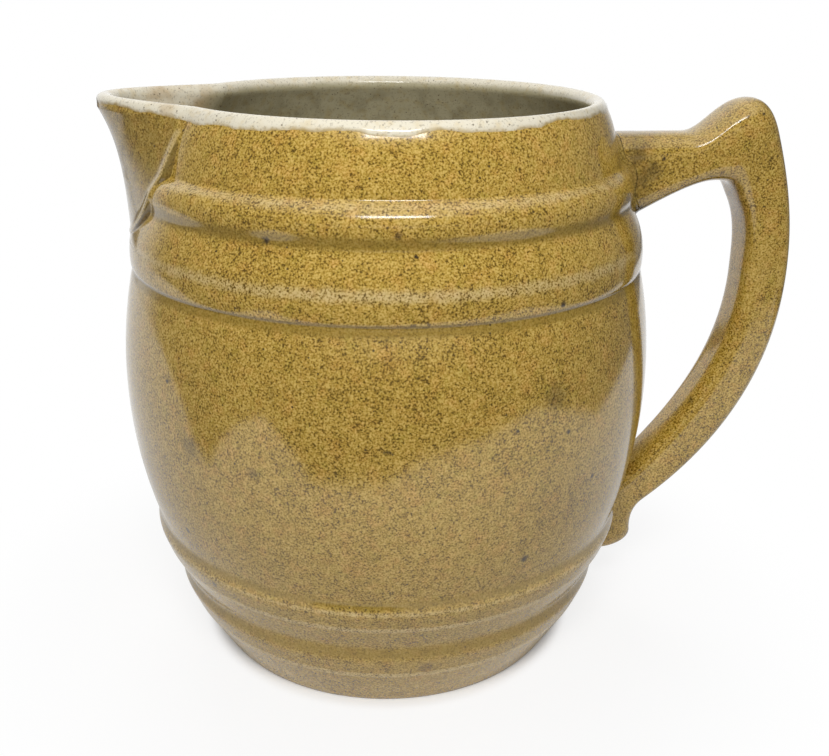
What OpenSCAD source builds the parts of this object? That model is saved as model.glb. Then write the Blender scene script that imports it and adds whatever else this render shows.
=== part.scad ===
// Barrel-shaped stoneware pitcher. The body stands on the origin with its axis along +Z,
// the handle points along +X and the spout along -X.

/* [Barrel] */
// Height of the clay rim above the table
body_h = 180; // [165:1:200]
// Widest diameter, across the belly
belly_d = 171; // [166:0.5:178]
// Height of the widest point
belly_z = 92.5; // [88:0.5:96]
// Radius of the long curve of the staves
belly_curve = 150; // [135:1:170]
// Wall at the belly
wall_t = 7; // [5:0.5:9]
// Least wall behind a groove
least_wall_t = 3.5; // [2.5:0.25:4]
// Radius of the long curve inside
inner_curve = 210; // [190:1:240]
// Height of the widest point inside
inner_z = 95; // [92:0.5:98]
// Thickness of the floor
floor_t = 7; // [5:0.5:10]
// Radius between the floor and the inner wall
floor_round = 18; // [12:1:22]

/* [Foot] */
// Diameter of the foot on the table
foot_d = 122.2; // [114:0.2:128]
// Width of the ring that the foot rests on
foot_ring_w = 7; // [5:0.5:12]
// Depth of the recess inside the foot ring
foot_recess = 1.5; // [0.5:0.5:3]
// Bevel round the bottom of the foot
foot_bevel = 1; // [0.5:0.25:2]

/* [Lower hoops] */
// Height of the edge above the foot band
foot_edge_z = 16.2; // [14:0.2:18]
// Diameter at the edge above the foot band
foot_edge_d = 139.6; // [136:0.2:142]
// Height of the upper edge of the fourth hoop
hoop4_top_z = 24.8; // [23:0.2:26]
// Diameter at the upper edge of the fourth hoop
hoop4_top_d = 146.8; // [144:0.2:149]
// Height of the edge in the middle of the third hoop
hoop3_edge_z = 38; // [35:0.2:40]
// Diameter at the edge in the middle of the third hoop
hoop3_edge_d = 155; // [153:0.2:157]
// Height of the upper edge of the third hoop
hoop3_top_z = 45; // [43:0.2:47]
// Diameter at the upper edge of the third hoop
hoop3_top_d = 159.9; // [158:0.1:162]
// Rise of the ledge on top of the third and fourth hoop
ledge_h = 2.6; // [1.5:0.1:3.5]
// Depth of the ledge on top of the third and fourth hoop
ledge_d = 1.3; // [0.8:0.1:2]

/* [Upper hoops and rim] */
// Height of the lower edge of the second hoop
hoop2_edge_z = 131.2; // [128:0.2:132.5]
// Height of the crest of the second hoop
hoop2_crest_z = 134; // [133:0.2:136]
// How far the crest of the second hoop stands out from the staves
hoop2_proud = 1.5; // [0.8:0.1:2.5]
// Roundness of the second hoop
hoop2_round = 25; // [22:0.5:30]
// Height of the groove between the first and second hoop
groove_z = 150.2; // [149:0.2:152]
// Height of the crest of the first hoop
hoop1_z = 154.7; // [154:0.1:156]
// Diameter of the first hoop
hoop1_d = 153.6; // [152:0.2:156]
// Roundness of the first hoop
hoop1_round = 7; // [6.5:0.1:8]
// Diameter of the collar above the first hoop
collar_d = 145; // [143:0.5:147]
// Height at which the collar is widest
collar_z = 161; // [159:0.5:163]
// Radius of the rounded lip
lip_r = 3; // [2.5:0.1:3.5]
// Diameter of the rim, at the crest of the lip
rim_d = 128.6; // [126:0.2:132]

/* [Spout] */
// Height of the point where the two sides of the spout meet
spout_apex_z = 141.5; // [138:0.5:146]
// Width of the spout where it joins the rim
spout_w = 74; // [66:1:80]
// How soon the sides of the spout stand upright: 1 is at the rim, more is below it
spout_open = 1.2; // [1:0.05:1.5]
// How far the lip of the spout stands out from the rim crest
spout_reach = 23.5; // [18:0.5:28]
// Rise of the tip of the spout above the rim
spout_rise = 1; // [0:0.25:3]
// Wall of the spout
spout_wall = 5; // [4:0.25:6]
// Thickness of the border that laps on the barrel
spout_lap_t = 1.5; // [1:0.1:2.5]
// Fall of the sides of the spout away from its keel, 1 is straight and more is sharper
spout_sharp = 1.4; // [1.2:0.05:1.8]
// How blunt the keel is, as a part of the half width
spout_blunt = 0.2; // [0.1:0.02:0.35]
// Height of the lower corner of the notch cut in the barrel behind the spout
notch_apex_z = 153; // [150:0.5:158]
// Width of that notch at the rim
notch_w = 52; // [44:1:56]

/* [Handle] */
// Height of the top of the arm
arm_top_z = 168.4; // [164:0.2:170]
// Depth of the arm at the hollow before the thumb rest
arm_t = 17.5; // [15:0.1:20]
// Extra depth of the arm inside the barrel wall, where it joins the body
arm_flare = 14.5; // [8:0.5:18]
// Length of the arm from the collar to the hollow
arm_len = 22.5; // [19:0.5:26]
// Length of the thumb rest, from the hollow to its crest
thumb_len = 20.5; // [17:0.5:24]
// Rise of the thumb rest above the arm
thumb_rise = 9.8; // [6:0.2:13]
// How far the back of the handle stands out from the collar
handle_reach = 62; // [56:0.5:68]
// How far the back leans in at the height of the arm
back_lean = 9.8; // [6:0.2:12]
// Height at which the back stands out most
grip_z = 121; // [112:1:130]
// Thickness of the strap, seen from the side
strap_t = 16.5; // [14:0.5:20]
// Width of the strap, seen from the back
strap_w = 18; // [15:0.5:22]
// Width of the arm
arm_w = 20; // [17:0.5:24]
// Width of the thumb rest
thumb_w = 22; // [18:0.5:26]
// Rounding of the edges of the handle
handle_round = 5; // [3.5:0.25:6.5]
// Height at which the strap turns down into the tail
tail_top_z = 38.2; // [36:0.2:42]
// How far the strap stands out from the third hoop at that height
elbow_t = 12.2; // [10:0.2:15]
// How far the tail stands out from the fourth hoop
tail_t = 15.4; // [12:0.2:17]
// Length of the tail
tail_len = 20.4; // [16:0.1:23]
// Width of the tip of the tail
tail_w = 12; // [9:0.5:15]

/* [Joints and glaze] */
// Thickness of the fired slip that bonds the spout and handle to the barrel
slip_t = 0.8; // [0.5:0.1:1.2]
// How far the slip is squeezed out past the edge of the joint
slip_out = 1.2; // [0.6:0.1:2]
// Thickness of the liner glaze
glaze_t = 0.6; // [0.4:0.1:1]
// How far the liner glaze laps down outside the rim, below its crest
glaze_lap = 3.6; // [3:0.1:5]

/* [Hidden] */
$fn = 180;

belly_r = belly_d / 2;
inner_r = belly_r - wall_t;
collar_r = collar_d / 2;
lip_z = body_h - lip_r;
rim_r = rim_d / 2;
mouth_r = rim_r - lip_r;
mouth_top_z = body_h + lip_r;

// An arc of the outline is [radius of its centre from the axis, height of its centre, own radius].
belly_arc = [belly_r - belly_curve, belly_z, belly_curve];
hoop2_crest_r = arc_x(belly_arc, hoop2_crest_z) + hoop2_proud;
hoop2_arc = [hoop2_crest_r - hoop2_round, hoop2_crest_z, hoop2_round];
hoop1_arc = [hoop1_d / 2 - hoop1_round, hoop1_z, hoop1_round];
// The collar runs from its widest point to the outside of the lip, so its radius follows from both.
collar_drop = collar_r - rim_r - lip_r;
collar_round = (pow(lip_z - collar_z, 2) + pow(collar_drop, 2)) / (2 * collar_drop);
collar_arc = [collar_r - collar_round, collar_z, collar_round];
inner_arc = [inner_r - inner_curve, inner_z, inner_curve];

// Distance from the axis of an arc of the outline at height z
function arc_x(arc, z) = arc[0] + sqrt(max(0, arc[2] * arc[2] - (z - arc[1]) * (z - arc[1])));

// Outside radius of the barrel at height z, from the belly up
function barrel_r(z) =
    z < hoop2_edge_z ? arc_x(belly_arc, z)
    : z < groove_z ? arc_x(hoop2_arc, z)
    : z < collar_z ? max(arc_x(hoop1_arc, z), arc_x(collar_arc, z))
    : max(arc_x(collar_arc, min(z, lip_z)), z < hoop1_z + hoop1_round ? arc_x(hoop1_arc, z) : 0);

// A point of a Bezier curve with four control points
function bezier(p, t) =
    pow(1 - t, 3) * p[0] + 3 * t * pow(1 - t, 2) * p[1] + 3 * t * t * (1 - t) * p[2] + pow(t, 3) * p[3];

// Part of the half plane from the axis out to an arc of the outline, between two heights
module arc_band(arc, z0, z1, grow = 0) {
    if (arc[0] > 0)
        translate([0, z0])
            square([arc[0], z1 - z0]);
    intersection() {
        translate([arc[0], arc[1]])
            circle(r = arc[2] + grow, $fn = 256);
        translate([0, z0])
            square([belly_d, z1 - z0]);
    }
}

// Stepped bands of the foot and the two lower hoops
module lower_bands(grow = 0) {
    groove4 = [hoop4_top_d / 2 - ledge_d, hoop4_top_z + ledge_h];
    groove3 = [hoop3_top_d / 2 - ledge_d, hoop3_top_z + ledge_h];
    polygon([
        [0, 0],
        [foot_d / 2 - foot_bevel + grow, 0],
        [foot_d / 2 + grow, foot_bevel],
        [foot_edge_d / 2 + grow, foot_edge_z],
        [hoop4_top_d / 2 + grow, hoop4_top_z],
        [groove4[0] + grow, groove4[1]],
        [hoop3_edge_d / 2 + grow, hoop3_edge_z],
        [hoop3_top_d / 2 + grow, hoop3_top_z],
        [groove3[0] + grow, groove3[1]],
        [0, groove3[1]]
    ]);
}

// Filled outline of the barrel, grown by a thickness outwards and at the ends of its bands
module barrel_outline(grow = 0) {
    lower_bands(grow);
    arc_band(belly_arc, hoop3_top_z + ledge_h - grow, hoop2_edge_z + grow, grow);
    arc_band(hoop2_arc, hoop2_edge_z - grow, groove_z + grow, grow);
    arc_band(hoop1_arc, groove_z - grow, hoop1_z + hoop1_round, grow);
    arc_band(collar_arc, hoop1_z, lip_z + lip_r / 3, grow);
}

// Half section of the hollow as its curves give it, drawn in by a thickness; from the belly up to the
// mouth it is never narrower than a cone that ends inside the lip
module hollow_curves(shrink) {
    corner_z = floor_t + floor_round;
    corner_r = arc_x(inner_arc, corner_z) - floor_round;
    arc_band(inner_arc, corner_z - floor_round / 4, mouth_top_z, -shrink);
    polygon([
        [0, inner_z],
        [inner_r - least_wall_t - shrink, inner_z],
        [mouth_r - shrink, lip_z],
        [mouth_r - shrink, mouth_top_z],
        [0, mouth_top_z]
    ]);
    translate([0, floor_t + shrink])
        square([corner_r, floor_round - shrink]);
    translate([corner_r, corner_z])
        circle(r = floor_round - shrink);
}

// Full section of the filled barrel, on both sides of the axis
module barrel_section() {
    barrel_outline();
    mirror([1, 0])
        barrel_outline();
}

// Half section of the hollow, which leaves the least wall inside the outline at every groove
module hollow_outline(shrink = 0) {
    intersection() {
        hollow_curves(shrink);
        union() {
            offset(r = -least_wall_t - shrink)
                barrel_section();
            translate([0, lip_z - 2 * least_wall_t])
                square([rim_r - shrink, mouth_top_z]);
        }
    }
}

// Round lip on top of the wall, grown by a thickness
module lip_outline(grow = 0) {
    translate([rim_r, lip_z])
        circle(r = lip_r + grow);
}

// Filled barrel with its lip, grown outwards by a thickness
module barrel_solid(grow = 0) {
    rotate_extrude() {
        barrel_outline(grow);
        lip_outline(grow);
    }
}

// Prism along the spout over a section drawn as [offset from its plane, height]
module spout_prism(section) {
    rotate([90, 0, -90])
        linear_extrude(height = belly_d)
            polygon(section);
}

// Notch behind the spout, with straight sides that part from an apex up to the rim
module spout_notch() {
    top_z = mouth_top_z + lip_r;
    half_w = notch_w / 2 * (top_z - notch_apex_z) / (body_h - notch_apex_z);
    spout_prism([[0, notch_apex_z], [half_w, top_z], [-half_w, top_z]]);
}

// Body with its hoops, floor, foot ring and lip, and the notch behind the spout
module barrel_body() {
    color("darkkhaki")
        difference() {
            rotate_extrude()
                difference() {
                    union() {
                        barrel_outline();
                        lip_outline();
                    }
                    difference() {
                        hollow_outline();
                        lip_outline();
                    }
                    square([foot_d / 2 - foot_bevel - foot_ring_w, foot_recess]);
                }
            spout_notch();
        }
}

// Half width of the root of the spout at height z: a V whose sides bend upright, with a hair's width
// left at the apex
apex_half = 0.01;
spout_full_h = (body_h - spout_apex_z) / spout_open;
function spout_half(z) = max(apex_half, spout_w / 2 * sin(90 * min(1, (z - spout_apex_z) / spout_full_h)));
// Height at which the border of the spout lies at offset y from its plane
function spout_low_z(y) = spout_apex_z + spout_full_h * asin(min(1, abs(y) / (spout_w / 2))) / 90;

// Keel of the spout: an S-curve from the second hoop out to the tip, as [distance from axis, height]
keel = [
    [barrel_r(spout_apex_z) + spout_lap_t, spout_apex_z],
    [barrel_r(spout_apex_z) + spout_lap_t, spout_apex_z + (lip_z - spout_apex_z) / 3],
    [hoop1_d / 2 + 2 * spout_lap_t + slip_t, collar_z],
    [rim_r + spout_reach, lip_z]
];
function keel_t(z) = (z - spout_apex_z) / (lip_z - spout_apex_z);
function keel_r(z) = bezier([for (p = keel) p[0]], keel_t(z));

// Share of the reach that is left at a distance from the keel, u = 0 on the keel and 1 at the border
function spout_fall(u) =
    let (s = sqrt(u * u * (1 - spout_blunt * spout_blunt) + spout_blunt * spout_blunt))
    pow(max(0, 1 - s) / (1 - spout_blunt), spout_sharp);

// Outer radius of the spout at height z and offset y from its plane
function spout_r(y, z) =
    let (border = barrel_r(z) + slip_t + spout_lap_t)
    border + max(0, keel_r(z) - border) * spout_fall(min(1, abs(y) / spout_half(z)));

// Section of the spout in the plane at offset y: up the outside, over the round lip, down the inside
spout_steps = 16;
lip_steps = 8;
function spout_section(y) =
    let (
        low_z = spout_low_z(y),
        top_z = lip_z + spout_rise * spout_fall(min(1, abs(y) / (spout_w / 2))),
        start_z = min(low_z, top_z - lip_r),
        top_r = spout_r(y, lip_z),
        half = spout_wall / 2,
        levels = [for (k = [0:spout_steps]) start_z + (top_z - start_z) * k / spout_steps]
    )
    concat(
        [for (z = levels) [spout_r(y, min(z, lip_z)), z]],
        [for (k = [1:lip_steps - 1])
            let (a = 180 * k / lip_steps)
            [top_r - half + half * cos(a), top_z + lip_r * sin(a)]],
        [for (k = [spout_steps:-1:0])
            let (z = levels[k])
            [spout_r(y, min(z, lip_z)) - spout_wall, z]]
    );

// A section point set in space: its radius is turned about the axis by the angle that belongs to y
function spout_point(p, y) =
    let (a = asin(y / barrel_r(min(p[1], lip_z))))
    [-p[0] * cos(a), p[0] * sin(a), p[1]];

// Solid skinned over a row of closed sections with equal counts of points, with flat fans at both ends
module skin(rows) {
    n = len(rows[0]);
    last = len(rows) - 1;
    sides = [for (i = [0:last - 1], j = [0:n - 1])
        let (a = i * n + j, b = i * n + (j + 1) % n)
        each [[a, a + n, b], [b, a + n, b + n]]];
    start = [for (j = [1:n - 2]) [0, j, j + 1]];
    end = [for (j = [1:n - 2]) [last * n, last * n + j + 1, last * n + j]];
    polyhedron(points = [for (row = rows) each row], faces = concat(sides, start, end));
}

spout_columns = 16;
module spout_blank() {
    skin([for (i = [-spout_columns:spout_columns])
        let (y = spout_w / 2 * sin(90 * i / spout_columns))
        [for (p = spout_section(y)) spout_point(p, y)]]);
}

// Press-moulded spout, trimmed to the barrel less the layer of slip
module spout() {
    color("darkkhaki")
        difference() {
            spout_blank();
            barrel_solid(slip_t);
        }
}

// A knot of the handle's outline is [distance from axis, height, direction in degrees].
root_r = collar_r - wall_t;
back_r = collar_r + handle_reach;
hollow_r = collar_r + arm_len;
crest_r = hollow_r + thumb_len;
tail_r = hoop4_top_d / 2 + tail_t;
tail_end_z = tail_top_z - tail_len;
low_root_r = hoop4_top_d / 2 - wall_t;
// Share of the tail's length above its widest point, and share of its thickness that its tip tapers off
tail_bulge = 0.6;
tail_taper = 0.7;
grip_corner_r = back_r - strap_t - handle_round;

// Outer edge: arm, hollow, crest of the thumb rest, back, elbow, tail, tip and root inside the barrel
outer_knots = [
    [root_r, arm_top_z, 0],
    [hollow_r, arm_top_z, 0],
    [crest_r, arm_top_z + thumb_rise, 0],
    [back_r - back_lean, arm_top_z, -70],
    [back_r, grip_z, -90],
    [hoop3_top_d / 2 + elbow_t, tail_top_z, -142],
    [tail_r, tail_top_z - tail_len * tail_bulge, -83],
    [tail_r - tail_t * tail_taper, tail_end_z, 180],
    [low_root_r, tail_end_z, 180]
];

// Inner edge, with one knot across from each knot of the outer edge
inner_knots = [
    [root_r, arm_top_z - arm_t - arm_flare, 20],
    [hollow_r, arm_top_z - arm_t, 24],
    [grip_corner_r - handle_round, arm_top_z - arm_t + handle_round / 2, -6],
    [grip_corner_r + handle_round / 4, arm_top_z - arm_t - handle_round, -62],
    [back_r - strap_t, grip_z, -90],
    [hoop3_top_d / 2 + handle_round, tail_top_z + elbow_t, -132],
    [low_root_r, tail_top_z, -140],
    [low_root_r - handle_round, tail_top_z - tail_len / 3, -120],
    [low_root_r - handle_round, tail_end_z + handle_round, -90]
];
knot_widths = [arm_w, arm_w, thumb_w, arm_w, strap_w, strap_w, strap_w, tail_w, tail_w];

// Smooth curve between two knots, whose handles are a fixed share of the way between them
handle_pull = 0.36;
function between(a, b, t) =
    let (
        p = [a[0], a[1]],
        q = [b[0], b[1]],
        pull = norm(q - p) * handle_pull
    )
    bezier([p, p + pull * [cos(a[2]), sin(a[2])], q - pull * [cos(b[2]), sin(b[2])], q], t);

// Rounded section of the handle between an outer and an inner point, grown by a thickness;
// where it is thin, the rounding leaves half of the least flat between two corners
corner_steps = 5;
least_flat = 0.5;
function handle_section(outer, inner, width, grow) =
    let (
        middle = (outer + inner) / 2,
        across = (outer - inner) / norm(outer - inner),
        half_t = norm(outer - inner) / 2 + grow,
        half_w = width / 2 + grow,
        edge = min(handle_round, half_t - least_flat, half_w - least_flat)
    )
    [for (corner = [0:3], k = [0:corner_steps])
        let (
            a = 90 * (corner + k / corner_steps),
            side = corner == 0 || corner == 3 ? 1 : -1,
            top = corner < 2 ? 1 : -1,
            reach = side * (half_t - edge) + edge * cos(a),
            y = top * (half_w - edge) + edge * sin(a),
            p = middle + reach * across
        )
        [p[0], y, p[1]]];

// The handle before it is trimmed to the barrel, grown by a thickness
span_steps = [2, 6, 5, 5, 10, 4, 4, 2];
module handle_blank(grow = 0) {
    last = len(outer_knots) - 1;
    rows = [for (i = [0:last - 1], k = [0:span_steps[i] - (i < last - 1 ? 1 : 0)])
        let (t = k / span_steps[i])
        handle_section(
            between(outer_knots[i], outer_knots[i + 1], t),
            between(inner_knots[i], inner_knots[i + 1], t),
            knot_widths[i] * (1 - t) + knot_widths[i + 1] * t,
            grow)];
    skin(rows);
}

// Moulded handle with thumb rest and tail, trimmed to the barrel less the layer of slip
module handle() {
    color("darkkhaki")
        difference() {
            handle_blank();
            barrel_solid(slip_t);
        }
}

// Layer of slip on the outside of the barrel, between two heights
module slip_layer(z0, z1) {
    intersection() {
        difference() {
            barrel_solid(slip_t);
            barrel_solid();
        }
        translate([0, 0, z0])
            cylinder(r = belly_d, h = z1 - z0);
    }
}

// Slip under the border of the spout, squeezed out a little past its edge
border_steps = 12;
module spout_slip_joint() {
    apex_z = spout_apex_z - slip_out;
    side = [for (k = [0:border_steps])
        let (z = spout_apex_z + spout_full_h * k / border_steps)
        [spout_half(z) + slip_out, z]];
    half_w = spout_w / 2 + slip_out;
    color("tan")
        difference() {
            intersection() {
                slip_layer(apex_z, body_h - glaze_lap);
                spout_prism(concat(
                    [[0, apex_z]],
                    side,
                    [[half_w, mouth_top_z], [-half_w, mouth_top_z]],
                    [for (k = [border_steps:-1:0]) [-side[k][0], side[k][1]]]
                ));
            }
            spout_notch();
        }
}

// Slip under one root of the handle
module handle_slip(z0, z1) {
    color("tan")
        intersection() {
            handle_blank(slip_out);
            slip_layer(z0, z1);
        }
}

module handle_upper_slip_joint() {
    handle_slip(grip_z, body_h - glaze_lap);
}

module handle_lower_slip_joint() {
    handle_slip(0, grip_z);
}

// Pale glaze over the floor, the inside wall and the lip
module liner_glaze() {
    color("oldlace")
        difference() {
            rotate_extrude()
                difference() {
                    union() {
                        intersection() {
                            hollow_outline();
                            square([belly_d, lip_z]);
                        }
                        intersection() {
                            lip_outline(glaze_t);
                            translate([0, body_h - glaze_lap])
                                square([belly_d, body_h]);
                        }
                    }
                    difference() {
                        hollow_outline(glaze_t);
                        lip_outline(glaze_t);
                    }
                    difference() {
                        barrel_outline();
                        hollow_outline();
                    }
                    lip_outline();
                }
            spout_notch();
        }
}

barrel_body();
spout();
handle();
spout_slip_joint();
handle_upper_slip_joint();
handle_lower_slip_joint();
liner_glaze();
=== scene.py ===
"""Dresses a stoneware pitcher: turned barrel, luted spout, moulded handle, slip joints and glazes."""

import logging
import math
from dataclasses import dataclass, field
from enum import Enum
from functools import cached_property

import bpy
import numpy as np
from mathutils import Matrix, Vector


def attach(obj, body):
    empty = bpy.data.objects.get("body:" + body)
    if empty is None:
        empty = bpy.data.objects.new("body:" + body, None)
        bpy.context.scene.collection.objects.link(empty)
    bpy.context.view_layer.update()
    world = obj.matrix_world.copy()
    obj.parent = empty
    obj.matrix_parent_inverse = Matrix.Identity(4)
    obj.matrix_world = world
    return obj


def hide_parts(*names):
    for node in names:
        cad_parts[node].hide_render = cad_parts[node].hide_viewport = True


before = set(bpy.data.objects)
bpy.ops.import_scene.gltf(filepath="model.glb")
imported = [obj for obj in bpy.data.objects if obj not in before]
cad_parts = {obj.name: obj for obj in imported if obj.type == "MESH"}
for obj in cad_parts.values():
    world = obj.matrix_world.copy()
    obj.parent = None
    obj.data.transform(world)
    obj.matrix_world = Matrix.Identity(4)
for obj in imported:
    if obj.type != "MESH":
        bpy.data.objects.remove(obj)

log = logging.getLogger("pitcher")
MM = 0.001
WELD_DIGITS = 4
Array = np.ndarray
Colour = tuple[float, float, float]
WHITE: Colour = (1.0, 1.0, 1.0)


class Slot(Enum):
    """Material slots of the record."""

    TAN = "tan_glaze"
    SLIP = "fired_slip"
    CREAM = "cream_glaze"


def smooth_step(x: Array) -> Array:
    """Rises from 0 to 1 as x does, level at both ends: x squared times 3 less 2 x."""
    x = np.clip(x, 0.0, 1.0)
    return x * x * (3.0 - 2.0 * x)


def bell(x: Array, middle: float, width: float) -> Array:
    """1 at the middle, elsewhere the exponential of minus the square of distance over width."""
    return np.exp(-(((x - middle) / width) ** 2))


def bezier(points: Array, t: Array) -> Array:
    """Cubic curve through the first and last of four control points.

    Args:
        points: Four control values, or arrays of them that broadcast with t.
        t: Places along the curve, from 0 to 1.

    Returns:
        The curve's values at t.
    """
    a, b, c, d = points
    s = 1.0 - t
    return s**3 * a + 3 * t * s**2 * b + 3 * t**2 * s * c + t**3 * d


def turned(radius: Array, angle: Array, z: Array) -> Array:
    """Points at a radius, an angle from the spout's plane (the -X side) and a height, coordinates last."""
    radius, angle, z = np.broadcast_arrays(radius, angle, z)
    return np.stack([-radius * np.cos(angle), -radius * np.sin(angle), z], -1)


@dataclass
class Surface:
    """Points and faces of a mesh in the making.

    Attributes:
        points: Points in millimetres, or in metres on the stage, one row each.
        quads: Corner numbers of the four-sided faces.
        marks: Named values per point, which the finishes read.
    """

    points: Array
    quads: Array
    marks: dict[str, Array] = field(default_factory=dict)

    @staticmethod
    def grid(points: Array, wrap_rows: bool = False, wrap_columns: bool = False) -> "Surface":
        """Skins a grid of points: each cell of the grid is one face.

        Args:
            points: Array of rows, columns and coordinates.
            wrap_rows: Joins the last row to the first.
            wrap_columns: Joins the last column to the first.

        Returns:
            The surface of the grid.
        """
        rows, columns = points.shape[:2]
        number = np.arange(rows * columns).reshape(rows, columns)
        if wrap_rows:
            number = np.vstack([number, number[:1]])
        if wrap_columns:
            number = np.hstack([number, number[:, :1]])
        corners = [number[:-1, :-1], number[:-1, 1:], number[1:, 1:], number[1:, :-1]]
        return Surface(points.reshape(-1, 3), np.stack(corners, -1).reshape(-1, 4))

    def cap(self, loop: Array, far: int) -> None:
        """Closes both ends of a tube with rungs between the halves of its end loops, and welds it.

        Args:
            loop: Point numbers round one end; point k is tied to the k-th from the end.
            far: What to add to a point's number to reach the other end.
        """
        half = len(loop) // 2
        for ring in (loop, loop[::-1] + far):
            left, right = ring[:half], ring[::-1][:half]
            rungs = np.stack([left[:-1], left[1:], right[1:], right[:-1]], -1)
            self.quads = np.vstack([self.quads, rungs])
        self.weld()

    def weld(self) -> None:
        """Makes equal points one, so that seams and poles close, and drops faces that vanish."""
        near = np.round(self.points, WELD_DIGITS)
        _, first, place = np.unique(near, axis=0, return_index=True, return_inverse=True)
        self.points = self.points[first]
        self.marks = {name: values[first] for name, values in self.marks.items()}
        self.quads = place.reshape(-1)[self.quads]
        ordered = np.sort(self.quads, 1)
        corners = 4 - (ordered[:, 1:] == ordered[:, :-1]).sum(1)
        across = (self.quads[:, 0] == self.quads[:, 2]) | (self.quads[:, 1] == self.quads[:, 3])
        self.quads = self.quads[(corners >= 3) & ~across]

    def face_out(self) -> None:
        """Turns all faces round if the signed volume they enclose is negative."""
        a, b, c, d = (self.points[self.quads[:, k]] for k in range(4))
        volume = (np.cross(a, b) * c).sum() + (np.cross(a, c) * d).sum()
        if volume < 0:
            self.quads = self.quads[:, ::-1]

    def mesh(self, name: str, made: bpy.types.Material, unit: float) -> bpy.types.Object:
        """Puts the surface into a new smooth object of the scene.

        Args:
            name: Name of the object.
            made: Its material.
            unit: Length in metres of one unit of the points.

        Returns:
            The new object; faces with a doubled corner have become triangles.
        """
        doubled = self.quads == np.roll(self.quads, -1, 1)
        short = doubled.any(1)
        faces = [row[~gap].tolist() for row, gap in zip(self.quads[short], doubled[short])]
        faces += self.quads[~short].tolist()
        mesh = bpy.data.meshes.new(name)
        mesh.from_pydata((self.points * unit).tolist(), [], faces)
        for mark, values in self.marks.items():
            layer = mesh.attributes.new(mark, "FLOAT", "POINT")
            layer.data.foreach_set("value", values.astype(np.float32))
        mesh.polygons.foreach_set("use_smooth", np.ones(len(mesh.polygons), bool))
        mesh.materials.append(made)
        mesh.validate()
        mesh.update()
        piece = bpy.data.objects.new(name, mesh)
        bpy.context.scene.collection.objects.link(piece)
        return piece

    def dress(self, name: str, finish: "Finish", node: str, slot: Slot) -> bpy.types.Object:
        """Makes a piece of the pitcher and ties it to the frame.

        Args:
            name: Name of the piece.
            finish: Its glaze.
            node: Solid of the frame that the piece stands for.
            slot: Material slot of the record; not used.

        Returns:
            The new object.
        """
        self.face_out()
        piece = self.mesh(name, finish.value.material(), MM)
        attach(piece, "root")
        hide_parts(node)
        return piece


@dataclass(frozen=True)
class Band:
    """A bell-shaped band about a height of the barrel.

    Attributes:
        z: Height of its middle in millimetres.
        wide: Its width in millimetres.
        size: What it brings there: a share, or a softening in millimetres.
    """

    z: float
    wide: float
    size: float

    def weight(self, z: Array) -> Array:
        """1 in the middle of the band, falling off as a bell."""
        return bell(z, self.z, self.wide)


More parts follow.
